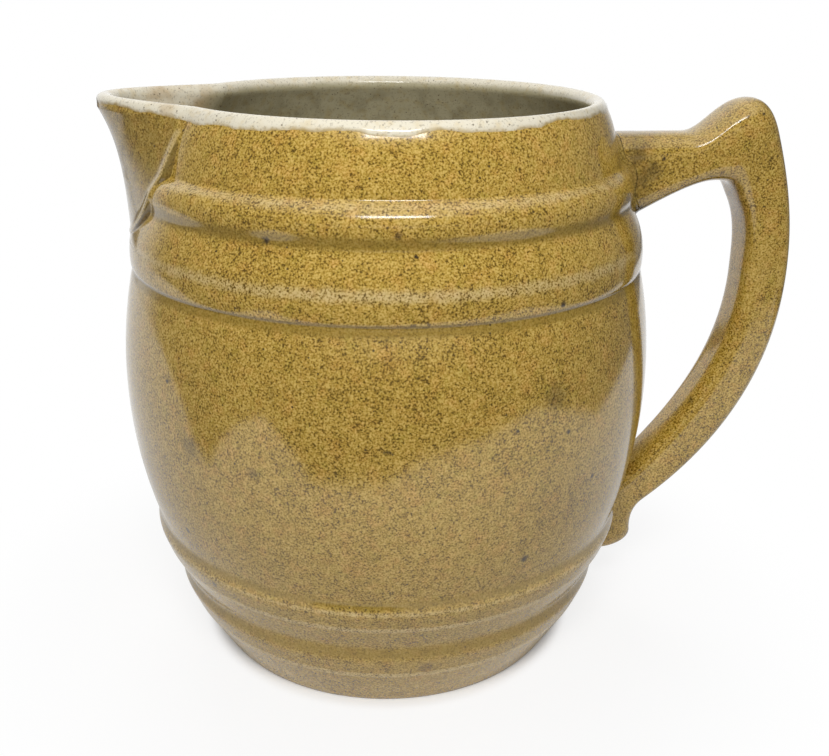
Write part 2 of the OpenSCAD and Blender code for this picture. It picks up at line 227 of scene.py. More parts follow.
@dataclass(frozen=True)
class BarrelShape:
    """Half section of the turned barrel, in millimetres; heights are above the table.

    Attributes:
        band_z: Heights of the corners of the foot band and the two lower hoops.
        band_r: Distances of those corners from the axis.
        eased: Bands where the section is softened further.
        bare: Bands that the glaze ran off; the two on the upper hoops also paint light: more light from above
            on hoop 2's crest and a haze of highlight on hoop 1's upper shoulder.
        pooled: Bands where the glaze has pooled; they also paint shade under the hoops' edges and on the
            ledges.
        full_bend: Bend at which an edge is bare or a groove full.
        crowd: How much closer the rows lie together for a bend, which counts up to most_bend.
    """

    rim_z: float = 179.8
    rim_r: float = 64.3
    lip_r: float = 3.0
    belly_r: float = 85.4
    belly_z: float = 92.5
    belly_curve: float = 150.0
    inner_r: float = 78.5
    inner_z: float = 95.0
    inner_curve: float = 210.0
    floor_z: float = 7.0
    floor_round: float = 18.0
    foot_r: float = 61.1
    foot_bevel: float = 1.0
    foot_ring_w: float = 7.0
    foot_recess: float = 1.5
    band_z: tuple[float, ...] = (0.0, 1.0, 16.2, 24.8, 27.4, 38.0, 45.0, 47.6)
    band_r: tuple[float, ...] = (60.1, 61.1, 69.8, 73.4, 72.1, 77.5, 79.95, 78.52)
    hoop2_edge_z: float = 131.2
    hoop2_z: float = 134.0
    hoop2_proud: float = 1.5
    hoop2_round: float = 25.0
    hoop2_cone_z: float = 144.0
    hoop2_cone: float = 0.47
    undercut: float = 0.1
    undercut_drop: float = 1.0
    undercut_wide: float = 0.9
    groove_z: float = 150.2
    hoop1_z: float = 154.7
    hoop1_r: float = 76.8
    hoop1_round: float = 7.0
    hoop1_low_round: float = 14.0
    collar_r: float = 72.5
    collar_z: float = 161.0
    collar_lean: float = 0.27
    soften: float = 0.5
    mark_soften: float = 1.1
    hull_soften: float = 1.6
    step: float = 0.1
    margin: float = 4.0
    full_bend: float = 0.5
    crowd: float = 9.0
    most_bend: float = 0.35
    eased: tuple[Band, ...] = (
        Band(151.2, 3.0, 1.2),
        Band(46.3, 4.0, 1.6),
        Band(26.1, 4.0, 1.7),
        Band(131.1, 1.6, 0.25),
    )
    bare: tuple[Band, ...] = (
        # Thin glaze with painted light: more light from above on hoop 2's crest, a haze of highlight on hoop
        # 1's upper shoulder.
        Band(139.0, 2.0, 0.75),
        Band(160.4, 1.2, 0.66),
        Band(44.6, 0.8, 0.4),
        Band(37.9, 0.9, 1.5),
        Band(16.5, 0.9, 1.5),
        Band(7.0, 6.0, 0.42),
    )
    pooled: tuple[Band, ...] = (
        # Painted shade with pooled glaze under hoop 2's edge and in the groove under hoop 1.
        Band(129.9, 2.0, 0.95),
        Band(151.8, 1.8, 0.95),
        # Painted shade with pooled glaze at the upper ledge (47.2) and the lower ledge (25.6).
        Band(47.2, 1.6, 0.65),
        Band(41.0, 1.6, 0.45),
        Band(25.6, 2.2, 0.95),
    )

    @property
    def lip_z(self) -> float:
        """Height of the middle of the round lip."""
        return self.rim_z - self.lip_r

    @staticmethod
    def arc(z: Array | float, widest: float, z_mid: float, curve: Array | float) -> Array:
        """Distance from the axis of an arc that is widest at a given height.

        Args:
            z: Heights.
            widest: Distance from the axis at the widest point.
            z_mid: Height of the widest point.
            curve: The arc's own radius.

        Returns:
            Widest distance less the arc's fall, which is the radius less the root of radius squared less rise
            squared; 0 above and below the arc.
        """
        root = curve**2 - (z - z_mid) ** 2
        return np.where(root >= 0.0, widest - curve + np.sqrt(np.maximum(root, 0.0)), 0.0)

    def blur(self, values: Array, width: float) -> Array:
        """Softens a row of values that are one step apart.

        Args:
            values: The values.
            width: Width of the bell in millimetres.

        Returns:
            The bell-shaped mean about each value.
        """
        reach = np.arange(-self.margin, self.margin + self.step / 2, self.step)
        weight = np.exp(-0.5 * (reach / width) ** 2)
        padded = np.pad(values, len(reach) // 2, mode="edge")
        return np.convolve(padded, weight / weight.sum(), mode="valid")

    @cached_property
    def table(self) -> tuple[Array, Array, Array]:
        """The outside worked out once, step by step up the barrel.

        The belly and the hoops are arcs, the second hoop ends in a cone, and the collar leans in a line that
        a fourth power of the height bows in under the lip.

        Returns:
            Heights, radii softened as glaze softens them, and bends of a softer copy.
        """
        z = np.arange(-self.margin, self.rim_z + self.margin, self.step)
        belly = self.arc(z, self.belly_r, self.belly_z, self.belly_curve)
        crest = self.arc(self.hoop2_z, self.belly_r, self.belly_z, self.belly_curve) + self.hoop2_proud
        hoop2 = self.arc(z, crest, self.hoop2_z, self.hoop2_round)
        cone = self.arc(self.hoop2_cone_z, crest, self.hoop2_z, self.hoop2_round)
        hoop2 = np.where(z > self.hoop2_cone_z, cone - self.hoop2_cone * (z - self.hoop2_cone_z), hoop2)
        rounding = np.where(z < self.hoop1_z, self.hoop1_low_round, self.hoop1_round)
        hoop1 = self.arc(z, self.hoop1_r, self.hoop1_z, rounding)
        up, drop = self.lip_z - self.collar_z, self.collar_r - self.rim_r - self.lip_r
        bow = (drop - self.collar_lean * up) / up**4
        rise = np.clip(z - self.collar_z, 0.0, up + self.lip_r)
        collar = self.collar_r - self.collar_lean * rise - bow * rise**4
        r = np.where(z < self.band_z[-1], np.interp(z, self.band_z, self.band_r), belly)
        r = np.where(z >= self.hoop2_edge_z, hoop2, r)
        r = np.where(z >= self.groove_z, np.maximum(hoop1, hoop2), r)
        r = np.where(z >= self.hoop1_z, np.maximum(hoop1, collar), r)
        r = r - self.undercut * bell(z, self.hoop2_edge_z - self.undercut_drop, self.undercut_wide)
        sharp, r = r, self.blur(r, self.soften)
        for band in self.eased:
            r = r + (self.blur(sharp, band.size) - r) * band.weight(z)
        slope = np.gradient(self.blur(r, self.mark_soften), self.step)
        return z, r, -np.gradient(slope, self.step) / (1.0 + slope**2) ** 1.5

    def outer(self, z: Array) -> Array:
        """Outside radius at heights z."""
        return np.interp(z, self.table[0], self.table[1])

    def bend(self, z: Array) -> Array:
        """Bend of the outside at heights z, one over its radius: above 0 on an edge, below 0 in a groove."""
        return np.interp(z, self.table[0], self.table[2])

    def thin(self, z: Array) -> Array:
        """How thin the glaze lies, 0 to 1: on sharp edges and on the crests that it ran off, where two bands
        on the upper hoops also paint light.
        """
        bare = sum(band.size * band.weight(z) for band in self.bare)
        return np.clip(self.bend(z) / self.full_bend + bare, 0.0, 1.0)

    def pool(self, z: Array) -> Array:
        """How deep the glaze has pooled, 0 to 1: in the grooves and above the ledges, where some bands also
        paint shade.
        """
        pooled = sum(band.size * band.weight(z) for band in self.pooled)
        return np.clip(-self.bend(z) / self.full_bend + pooled, 0.0, 1.0)

    @cached_property
    def hull(self) -> tuple[Array, Array]:
        """A skin stretched over the hoops above the second one.

        Of all straight lines that clear the section, the lowest at each height counts. The corners are
        softened.

        Returns:
            Heights and radii of the skin.
        """
        z, r = self.table[0], self.table[1]
        r, z = r[z > self.hoop2_z], z[z > self.hoop2_z]
        slope = np.linspace(-0.9, 0.2, 250)[:, None]
        clear = (r - slope * z)[:, z <= self.lip_z].max(1, keepdims=True)
        return z, np.maximum(self.blur((clear + slope * z).min(0), self.hull_soften), r)

    def wrapped(self, z: Array) -> Array:
        """Radius of the stretched skin at heights z."""
        return np.interp(z, *self.hull)

    def inner(self, z: Array) -> Array:
        """Inside radius: a long arc above the round corner of the floor.

        Args:
            z: Heights.

        Returns:
            The radii.
        """
        corner_z = self.floor_z + self.floor_round
        wall = self.arc(z, self.inner_r, self.inner_z, self.inner_curve)
        corner = self.arc(corner_z, self.inner_r, self.inner_z, self.inner_curve)
        return np.where(z < corner_z, self.arc(z, corner, corner_z, self.floor_round), wall)

    def levels(self, low: float, high: float, count: int) -> Array:
        """Heights for the rows of the outside, closer together where it bends.

        Args:
            low: Lowest height.
            high: Highest height.
            count: How many.

        Returns:
            The heights, which share out the sum of the bends evenly.
        """
        window = 41
        z = np.linspace(low, high, 4000)
        dense = 0.5 + self.crowd * np.minimum(np.abs(self.bend(z)), self.most_bend)
        dense = np.convolve(np.pad(dense, window // 2, mode="edge"), np.ones(window) / window, mode="valid")
        share = np.concatenate([[0.0], np.cumsum((dense[1:] + dense[:-1]) / 2)])
        return np.interp(np.linspace(0, share[-1], count), share, z)


@dataclass(frozen=True)
class SpoutShape:
    """The V-shaped spout as radii over angle and height; the angle is counted from the spout's own plane.

    Attributes:
        barrel: The barrel that carries it.
        full_z: Height at which its sides stand upright.
        reach: Lead of the tip over the rim.
        rise: Lead of the tip's lip over the rim's.
        sharp: Power that draws the sides in.
        blunt: Share of the half width that is round at the keel.
        far: Place across the V given to all that lies outside it.
    """

    barrel: BarrelShape
    apex_z: float = 138.5
    full_z: float = 163.0
    width: float = 72.0
    reach: float = 23.2
    rise: float = 0.7
    wall: float = 5.0
    sharp: float = 1.4
    blunt: float = 0.36
    keel_sink: float = 0.4
    keel_start: float = 0.8
    keel_pull: float = 3.8
    channel_z: float = 2.0
    channel_ease: float = 14.0
    ridge_h: float = 0.4
    ridge_w: float = 1.5
    ridge_in: float = 1.4
    lean_step: float = 0.5
    lean_most: float = 0.6
    far: float = 9.0

    def left(self, z: Array) -> Array:
        """Share of the way that is left from heights z to where the sides stand upright: 1 at the apex."""
        return np.clip((self.full_z - z) / (self.full_z - self.apex_z), 0.0, 1.0)

    def half_width(self, z: Array) -> Array:
        """Half width of the mouth cut for the spout at heights z: a quarter of an ellipse, 0 at the apex."""
        return self.width / 2 * np.sqrt(1.0 - self.left(z) ** 2)

    def flare(self, z: Array) -> Array:
        """Growth of the half width with height."""
        fall = self.left(z) / np.sqrt(np.maximum(1.0 - self.left(z) ** 2, 1e-3))
        return self.width / 2 * fall / (self.full_z - self.apex_z)

    def keel(self, z: Array) -> Array:
        """Distance of the keel from the axis: an S-curve from the second hoop out to the tip.

        Args:
            z: Heights.

        Returns:
            The distances, a cubic curve of the share of the height.
        """
        low = self.barrel.outer(self.apex_z)
        tip = self.barrel.rim_r + self.reach
        pull = self.barrel.hoop1_r + self.keel_pull
        t = np.clip((z - self.apex_z) / (self.barrel.lip_z - self.apex_z), 0.0, 1.0)
        return bezier((low - self.keel_sink, low + self.keel_start, pull, tip), t)

    def fall(self, u: Array) -> Array:
        """Share of the keel's reach left at u, which is 0 on the keel and 1 at the seam.

        A root of squares blunts the keel, and a power draws the sides in.
        """
        s = np.sqrt(np.minimum(u, 1.0) ** 2 * (1 - self.blunt**2) + self.blunt**2)
        return (np.maximum(1.0 - s, 0.0) / (1 - self.blunt)) ** self.sharp

    def across(self, angle: Array, z: Array) -> Array:
        """Place between keel and seam.

        Args:
            angle: Angles from the spout's plane.
            z: Heights.

        Returns:
            Offset from the plane over half width, 1 and more outside the V.
        """
        offset = np.abs(np.sin(angle)) * self.barrel.outer(z)
        u = np.where(np.cos(angle) > 0, offset / np.maximum(self.half_width(z), 1e-3), self.far)
        return np.where(z > self.apex_z, u, self.far)

    def outer(self, angle: Array, z: Array) -> Array:
        """Outside radius of spout and barrel.

        Args:
            angle: Angles from the spout's plane.
            z: Heights.

        Returns:
            The stretched skin's radius, plus the keel's lead over it times the fall.
        """
        z = np.minimum(z, self.barrel.lip_z)
        base = np.where(self.across(angle, z) < 1.0, self.barrel.wrapped(z), self.barrel.outer(z))
        return base + np.maximum(self.keel(z) - base, 0.0) * self.fall(self.across(angle, z))

    def step(self, z: Array) -> Array:
        """How far the border of the spout stands above the barrel at heights z."""
        return self.barrel.wrapped(z) - self.barrel.outer(z)

    def inner(self, angle: Array, z: Array) -> Array:
        """Inside radius of spout and barrel.

        Args:
            angle: Angles from the spout's plane.
            z: Heights.

        Returns:
            The barrel's radius, plus the keel's lead less the wall times the fall, eased in above the apex.
        """
        z = np.minimum(z, self.barrel.lip_z)
        base = self.barrel.inner(z)
        ease = smooth_step((z - self.apex_z - self.channel_z) / self.channel_ease)
        lead = np.maximum(self.keel(z) - self.wall - base, 0.0) * ease
        return base + lead * self.fall(self.across(angle, z))

    def inset(self, angle: Array, z: Array) -> Array:
        """Distance from the seam towards the keel, square to the seam."""
        offset = np.abs(np.sin(angle)) * self.barrel.outer(z)
        return (self.half_width(z) - offset) / np.sqrt(1.0 + self.flare(z) ** 2)

    def ridge(self, angle: Array, z: Array) -> Array:
        """Height of the raised border.

        Args:
            angle: Angles from the spout's plane.
            z: Heights.

        Returns:
            A bell over the distance from the seam, gone at the apex and under the lip.
        """
        ends = smooth_step((self.barrel.lip_z + 1.0 - z) / 6.0) * smooth_step((z - self.apex_z + 0.6) / 4.0)
        return self.ridge_h * bell(self.inset(angle, z), self.ridge_in, self.ridge_w) * ends

    def lip(self, angle: Array, turn: Array, grow: Array | float = 0.0) -> tuple[Array, Array]:
        """Rounding of the lip between the outside and the inside.

        Args:
            angle: Angles from the spout's plane.
            turn: Turns over the lip, 0 outside and pi inside.
            grow: Thickness of glaze on it.

        Returns:
            Radii and heights: outside a parabola from the collar's lean to the level crest, inside a quarter
            of an ellipse as wide as half the wall.
        """
        z = np.full_like(angle, self.barrel.lip_z)
        out, hole = self.outer(angle, z), self.inner(angle, z)
        middle, half = (out + hole) / 2, (out - hole) / 2
        lift = self.rise * self.fall(self.across(angle, z))
        lean = (self.outer(angle, z - self.lean_step) - out) / self.lean_step
        lean = np.clip(lean, 0.0, self.lean_most)
        s = np.clip(turn / (math.pi / 2), 0.0, 1.0)
        knee = out - np.minimum(lean * self.barrel.lip_r, half)
        face = np.arctan(lean) * (1 - s) + s * math.pi / 2
        near_r = (1 - s) ** 2 * out + 2 * s * (1 - s) * knee + s**2 * middle + grow * np.cos(face)
        near_z = self.barrel.lip_r * (2 * s - s**2) + grow * np.sin(face)
        far_r, far_z = middle + (half + grow) * np.cos(turn), (self.barrel.lip_r + grow) * np.sin(turn)
        outside = turn < math.pi / 2
        return np.where(outside, near_r, far_r), z + lift + np.where(outside, near_z, far_z)


class NodeSheet:
    """Adds nodes to the tree of one material or world and wraps their outputs."""

    def __init__(self, owner: bpy.types.Material | bpy.types.World) -> None:
        """Starts with an empty tree.

        Args:
            owner: Material or world that the nodes are for.
        """
        owner.use_nodes = True
        self.tree = owner.node_tree
        self.tree.nodes.clear()

    def add(
        self, kind: str, settings: dict | None = None, inputs: dict | None = None, output: int | str = 0
    ) -> "Wire":
        """Adds any node.

        Args:
            kind: The node's type name.
            settings: Its own settings, set first; "ramp" holds a colour ramp's stops.
            inputs: Values or wires for its sockets, by name or number.
            output: The output to hand back.

        Returns:
            The output as a wire.
        """
        node = self.tree.nodes.new(kind)
        for name, value in (settings or {}).items():
            if name == "ramp":
                stops = node.color_ramp.elements
                while len(stops) < len(value):
                    stops.new(0.5)
                for stop, (place, colour) in zip(stops, value):
                    stop.position, stop.color = place, (*colour, 1.0)
            else:
                setattr(node, name, value)
        for name, value in (inputs or {}).items():
            socket = node.inputs[name]
            if isinstance(value, Wire):
                self.tree.links.new(value.socket, socket)
            elif isinstance(value, tuple) and socket.type == "RGBA":
                socket.default_value = (*value, 1.0)
            else:
                socket.default_value = value
        return Wire(self, node.outputs[output] if node.outputs else None)

    def show(self, shader: "Wire") -> None:
        """Makes a shader the material's surface."""
        self.add("ShaderNodeOutputMaterial", None, {"Surface": shader})

    def math(self, operation: str, *values: "Wire | float") -> "Wire":
        """A Math node on up to three values."""
        return self.add("ShaderNodeMath", {"operation": operation}, dict(enumerate(values)))

    def mix(
        self, share: "Wire | float", first: "Wire | Colour", second: "Wire | Colour", blend: str = "MIX"
    ) -> "Wire":
        """A colour between two colours."""
        settings = {"data_type": "RGBA", "blend_type": blend}
        return self.add("ShaderNodeMix", settings, {0: share, 6: first, 7: second}, 2)

    def ease(self, value: "Wire", low: float, high: float) -> "Wire":
        """0 below low, 1 above high, eased between."""
        settings = {"interpolation_type": "SMOOTHSTEP"}
        return self.add("ShaderNodeMapRange", settings, {0: value, 1: low, 2: high, 3: 0.0, 4: 1.0})

    def noise(self, place: "Wire", scale: float, detail: float = 2.0, rough: float = 0.5) -> "Wire":
        """Soft noise from 0 to 1; scale is in lumps per metre."""
        inputs = {"Vector": place, "Scale": scale, "Detail": detail, "Roughness": rough}
        return self.add("ShaderNodeTexNoise", None, inputs)

    def cells(self, place: "Wire", scale: float, output: str = "Distance", feature: str = "F1") -> "Wire":
        """Cell pattern; scale is in cells per metre."""
        inputs = {"Vector": place, "Scale": scale}
        return self.add("ShaderNodeTexVoronoi", {"feature": feature}, inputs, output)

    def mark(self, name: str) -> "Wire":
        """A named value of the piece's own points."""
        return self.add("ShaderNodeAttribute", {"attribute_name": name}, None, "Fac")

    def glow(self, colour: "Wire") -> "Wire":
        """A shader that shines in a colour as written."""
        return self.add("ShaderNodeEmission", None, {"Color": colour, "Strength": 1.0})


class Wire:
    """A node's output that takes part in plain arithmetic."""

    def __init__(self, sheet: NodeSheet, socket: bpy.types.NodeSocket | None) -> None:
        """Keeps the socket and the sheet it belongs to."""
        self.sheet, self.socket = sheet, socket

    def __add__(self, other: "Wire | float") -> "Wire":
        """Sum."""
        return self.sheet.math("ADD", self, other)

    __radd__ = __add__

    def __mul__(self, other: "Wire | float") -> "Wire":
        """Product."""
        return self.sheet.math("MULTIPLY", self, other)

    __rmul__ = __mul__

    def __sub__(self, other: "Wire | float") -> "Wire":
        """Difference."""
        return self.sheet.math("SUBTRACT", self, other)

    def __rsub__(self, other: float) -> "Wire":
        """Difference from a number."""
        return self.sheet.math("SUBTRACT", other, self)

    def part(self, index: int) -> "Wire":
        """One coordinate of a vector, 0 to 2."""
        return self.sheet.add("ShaderNodeSeparateXYZ", None, {0: self}, index)


@dataclass(frozen=True)
class Fleck:
    """A dark mark in the glaze.

    Attributes:
        at: Its middle in millimetres.
        size: Its radius in millimetres.
        depth: How dark it is, 0 to 1.
    """

    at: tuple[float, float, float]
    size: float
    depth: float


@dataclass(frozen=True)
class Glaze:
    """A glossy glaze; each kind of glaze brings its own colour and ripple.

    Attributes:
        name: Name of the material.
        rough: Least roughness.
        dull: What dull patches add to the roughness.
        index: Refractive index.
    """

    name: str
    rough: float
    dull: float
    index: float

    def colour(self, sheet: NodeSheet, place: Wire) -> Wire:
        """Colour at a place, layered by each kind of glaze."""
        raise NotImplementedError

    def ripple(self, sheet: NodeSheet, place: Wire) -> Wire:
        """Height of the faint waves at a place, given by each kind of glaze."""
        raise NotImplementedError

    @staticmethod
    def specks(sheet: NodeSheet, place: Wire, scale: float, size: float, growth: float = 0.0) -> Wire:
        """Round specks in two cells of five.

        Args:
            sheet: Node tree to add to.
            place: Object coordinates.
            scale: Cells per metre.
            size: Radius of a speck as a share of a cell.
            growth: What the largest specks add to it.

        Returns:
            1 in a speck, 0 elsewhere.
        """
        chance = sheet.cells(place, scale, "Color").part(0)
        radius = size + sheet.ease(chance, 0.75, 1.0) * growth
        inside = sheet.ease(radius - sheet.cells(place, scale), 0.0, 0.05)
        return inside * sheet.math("GREATER_THAN", chance, 0.6)

    def material(self) -> bpy.types.Material:
        """Builds the material.

        Returns:
            A glossy coat in the glaze's colour, with dull patches and faint waves.
        """
        made = bpy.data.materials.new(self.name)
        sheet = NodeSheet(made)
        place = sheet.add("ShaderNodeTexCoord", None, None, "Object")
        waves = {"Strength": 0.06, "Distance": 0.0006, "Height": self.ripple(sheet, place)}
        inputs = {
            "Base Color": self.colour(sheet, place),
            "Roughness": self.rough + sheet.ease(sheet.noise(place, 60.0, 3.0), 0.45, 0.75) * self.dull,
            "IOR": self.index,
            "Normal": sheet.add("ShaderNodeBump", None, waves),
        }
        sheet.show(sheet.add("ShaderNodeBsdfPrincipled", None, inputs))
        return made


@dataclass(frozen=True)
class TanGlaze(Glaze):
    """Tan glaze with a fine dense speckle, iron spots, thin edges and pooled grooves; on the barrel it also
    paints light that grows with height, light on the upper hoops and shade in the grooves and on the ledges.

    Attributes:
        deep: How much of the pooled colour shows in a groove.
        painted_top_light: Painted light: growth of the brightness per metre of height, about the height
            even_z.
        flecks: Single dark marks.
        grain: Lumps of the speckle per metre.
        spots: Cells of the iron spots per metre.
        cracks: Cells of the crazing per metre.
    """

    rough: float = 0.11
    dull: float = 0.07
    index: float = 1.7
    dark: Colour = (0.10, 0.056, 0.004)
    tan: Colour = (0.415, 0.26, 0.035)
    light: Colour = (0.62, 0.43, 0.115)
    # Lighter colour of thin glaze; on the barrel's upper hoops it also paints light.
    thin: Colour = (0.68, 0.53, 0.26)
    # Darker colour of pooled glaze; on the barrel it also paints shade under the hoops' edges and on the
    # ledges.
    pooled: Colour = (0.235, 0.15, 0.014)
    ruddy: Colour = (1.06, 0.95, 1.0)
    olive: Colour = (0.88, 0.94, 0.75)
    iron: Colour = (0.022, 0.013, 0.006)
    deep: float = 0.62
    painted_top_light: float = 0.0
    even_z: float = 0.09
    flecks: tuple[Fleck, ...] = ()
    grain: float = 1750.0
    spots: float = 430.0
    cracks: float = 210.0

    def marks(self, sheet: NodeSheet, place: Wire) -> Wire:
        """Depth of the single marks at a place.

        Args:
            sheet: Node tree to add to.
            place: Object coordinates.

        Returns:
            The largest of the marks' depths, each fading out at a ragged edge.
        """
        ragged = (sheet.noise(place, 900.0, 3.0) - 0.5) * 1.6
        deepest = sheet.math("ADD", 0.0, 0.0)
        for fleck in self.flecks:
            ends = {0: place, 1: tuple(value * MM for value in fleck.at)}
            gap = sheet.add("ShaderNodeVectorMath", {"operation": "DISTANCE"}, ends, "Value")
            spot = 1.0 - sheet.ease(gap * (1.0 / (fleck.size * MM)) + ragged, 0.3, 1.2)
            deepest = sheet.math("MAXIMUM", deepest, spot * fleck.depth)
        return deepest

    def colour(self, sheet: NodeSheet, place: Wire) -> Wire:
        """Layers the colour: speckled ground, drift, painted light that grows with height, edges, grooves,
        crazing, iron spots and single marks.

        Args:
            sheet: Node tree to add to.
            place: Object coordinates.

        Returns:
            The colour.
        """
        drift = sheet.noise(place, 22.0, 3.0) - 0.5
        clump = sheet.noise(place, 300.0, 2.0) - 0.5
        grain = sheet.noise(place, self.grain, 1.5, 0.6) + clump * 0.22 + drift * 0.14
        stops = [(0.31, self.dark), (0.48, self.tan), (0.68, self.light)]
        tan = sheet.add("ShaderNodeValToRGB", {"ramp": stops}, {0: grain}, "Color")
        tan = sheet.mix(sheet.ease(sheet.noise(place, 240.0, 2.0), 0.45, 0.8), tan, self.ruddy, "MULTIPLY")
        tan = sheet.mix(sheet.ease(sheet.noise(place, 310.0, 2.0), 0.5, 0.85), tan, self.olive, "MULTIPLY")
        # Painted light: brighter up the barrel, darker towards the foot.
        tan = sheet.mix(1.0, tan, 1.0 + (place.part(2) - self.even_z) * self.painted_top_light, "MULTIPLY")
        ragged = (sheet.noise(place, 380.0, 2.0) - 0.5) * 0.8
        # Thin glaze, lighter on edges; on the barrel's upper hoops it also paints light.
        thin = sheet.ease(sheet.mark("thin") + ragged, 0.2, 1.0) * sheet.ease(grain, 0.3, 0.6)
        tan = sheet.mix(thin * 0.68, tan, self.thin)
        # Pooled glaze; on the barrel it also paints shade under the hoops' edges and on the ledges.
        pooled = sheet.ease(sheet.mark("pool") + ragged * 0.7, 0.15, 0.95)
        tan = sheet.mix(pooled * self.deep, tan, self.pooled)
        worn = sheet.ease(sheet.noise(place, 34.0, 3.0), 0.54, 0.68)
        crack = 1.0 - sheet.ease(sheet.cells(place, self.cracks, "Distance", "DISTANCE_TO_EDGE"), 0.0, 0.05)
        tan = sheet.mix(crack * worn * 0.3, tan, self.dark)
        tan = sheet.mix(self.specks(sheet, place, self.spots, 0.08, 0.09) * 0.8, tan, self.iron)
        return sheet.mix(self.marks(sheet, place), tan, self.iron)

    def ripple(self, sheet: NodeSheet, place: Wire) -> Wire:
        """Long waves with some short ones."""
        return sheet.noise(place, 120.0, 2.0) * 0.75 + sheet.noise(place, 520.0, 1.0) * 0.25


@dataclass(frozen=True)
class LinerGlaze(Glaze):
    """Cream glaze of the rim with a painted shade that turns it grey-olive inside, with fine dark specks and
    a ragged outer edge.

    Attributes:
        grain: Lumps of the fine speckle per metre.
        spots: Cells of the dark spots per metre.
    """

    rough: float = 0.1
    dull: float = 0.08
    index: float = 1.6
    cream: Colour = (0.81, 0.75, 0.595)
    warm: Colour = (0.93, 0.86, 0.72)
    grey: Colour = (0.46, 0.415, 0.265)
    beak: Colour = (0.49, 0.40, 0.255)
    ring: Colour = (0.17, 0.145, 0.08)
    stain: Colour = (0.50, 0.33, 0.13)
    speck: Colour = (0.12, 0.085, 0.05)
    edge: Colour = (0.42, 0.28, 0.07)
    grain: float = 1400.0
    spots: float = 520.0

    def colour(self, sheet: NodeSheet, place: Wire) -> Wire:
        """Layers the colour: cream, painted grey shade inside, blots, rings, stains in the spout, specks,
        brown edge.

        Args:
            sheet: Node tree to add to.
            place: Object coordinates.

        Returns:
            The colour.
        """
        depth, beak = sheet.mark("depth"), sheet.mark("spout")
        cloud = sheet.noise(place, 60.0, 3.0) - 0.5
        # Painted shade: deeper under the rim the inside turns grey-olive, less so in the spout.
        inside = sheet.mix(beak, self.grey, self.beak)
        colour = sheet.mix(sheet.ease(depth + cloud * 0.14, 0.025, 0.14), self.cream, inside)
        blot = sheet.ease(sheet.noise(place, 150.0, 4.0), 0.42, 0.7) * sheet.ease(depth, 0.08, 0.35)
        colour = sheet.mix(blot * 0.38, colour, self.ring)
        waves = {"Vector": place, "Scale": 38.0, "Distortion": 2.0, "Detail": 2.0}
        rings = sheet.add("ShaderNodeTexWave", {"wave_type": "BANDS", "bands_direction": "Z"}, waves, "Fac")
        colour = sheet.mix(sheet.ease(depth, 0.3, 0.9) * rings * 0.3, colour, self.ring)
        tint = sheet.ease(sheet.noise(place, 85.0, 3.0), 0.5, 0.72) * beak
        colour = sheet.mix(tint * 0.6, colour, self.stain)
        patch = sheet.ease(sheet.noise(place, 320.0, 3.0), 0.45, 0.75)
        colour = sheet.mix(patch * 0.9, colour, self.warm, "MULTIPLY")
        fine = sheet.ease(sheet.noise(place, self.grain, 1.5, 0.6), 0.53, 0.7)
        colour = sheet.mix(fine * 0.35, colour, self.speck)
        colour = sheet.mix(self.specks(sheet, place, self.spots, 0.16) * 0.75, colour, self.speck)
        ragged = (sheet.noise(place, 330.0, 3.0) - 0.5) * 1.1
        return sheet.mix(1.0 - sheet.ease(sheet.mark("lap") + ragged, 0.1, 0.95), colour, self.edge)

    def ripple(self, sheet: NodeSheet, place: Wire) -> Wire:
        """Waves of one length."""
        return sheet.noise(place, 170.0, 2.0)


BARREL_MARKS = (
    Fleck((3.5, -69.7, 172.7), 0.7, 0.9),
    Fleck((-2.8, -76.6, 153.8), 1.3, 0.6),
    Fleck((1.6, -76.9, 148.4), 0.6, 0.95),
    Fleck((41.8, -69.5, 132.9), 1.1, 0.95),
    Fleck((-35.5, -67.1, 150.8), 1.3, 0.95),
    Fleck((-65.5, -53.7, 107.9), 0.8, 0.9),
    Fleck((-63.7, -51.0, 58.6), 1.1, 0.9),
    Fleck((-56.6, -55.1, 42.1), 1.4, 0.8),
    Fleck((-59.6, -61.3, 90.7), 4.2, 0.4),
    Fleck((-41.8, -74.5, 88.9), 2.2, 0.4),
    Fleck((40.1, -74.5, 108.7), 4.6, 0.4),
    Fleck((29.0, -80.2, 101.2), 0.8, 0.9),
    Fleck((44.9, -72.6, 97.2), 0.9, 0.9),
    Fleck((55.0, -64.7, 79.3), 0.9, 0.9),
    Fleck((34.2, -74.0, 58.1), 1.4, 0.85),
    Fleck((6.3, -70.9, 19.5), 3.2, 0.35),
    Fleck((-6.9, -85.1, 98.7), 0.6, 0.7),
    Fleck((-6.1, -85.1, 98.7), 0.6, 0.75),
    Fleck((-5.3, -85.1, 98.6), 0.6, 0.7),
)
SPOUT_MARKS = (
    Fleck((-84.3, -1.5, 171.3), 1.3, 0.85),
    Fleck((-87.2, -0.5, 177.2), 1.1, 0.8),
)
HANDLE_MARKS = (
    Fleck((77.3, -9.8, 162.9), 3.4, 0.4),
    Fleck((83.0, -9.8, 157.2), 3.8, 0.4),
    Fleck((80.0, -9.8, 154.7), 2.6, 0.35),
    Fleck((86.1, -9.8, 161.4), 0.8, 0.95),
    Fleck((113.4, -9.8, 162.1), 0.7, 0.9),
    Fleck((116.9, -9.5, 174.9), 0.7, 0.85),
    Fleck((80.6, -8.5, 145.7), 1.6, 0.8),
    Fleck((105.5, -6.0, 77.1), 1.6, 0.5),
)
ROOT_MARKS = (
    Fleck((79.5, -8.5, 145.0), 2.2, 0.85),
    Fleck((79.0, -8.0, 142.0), 1.8, 0.7),
)


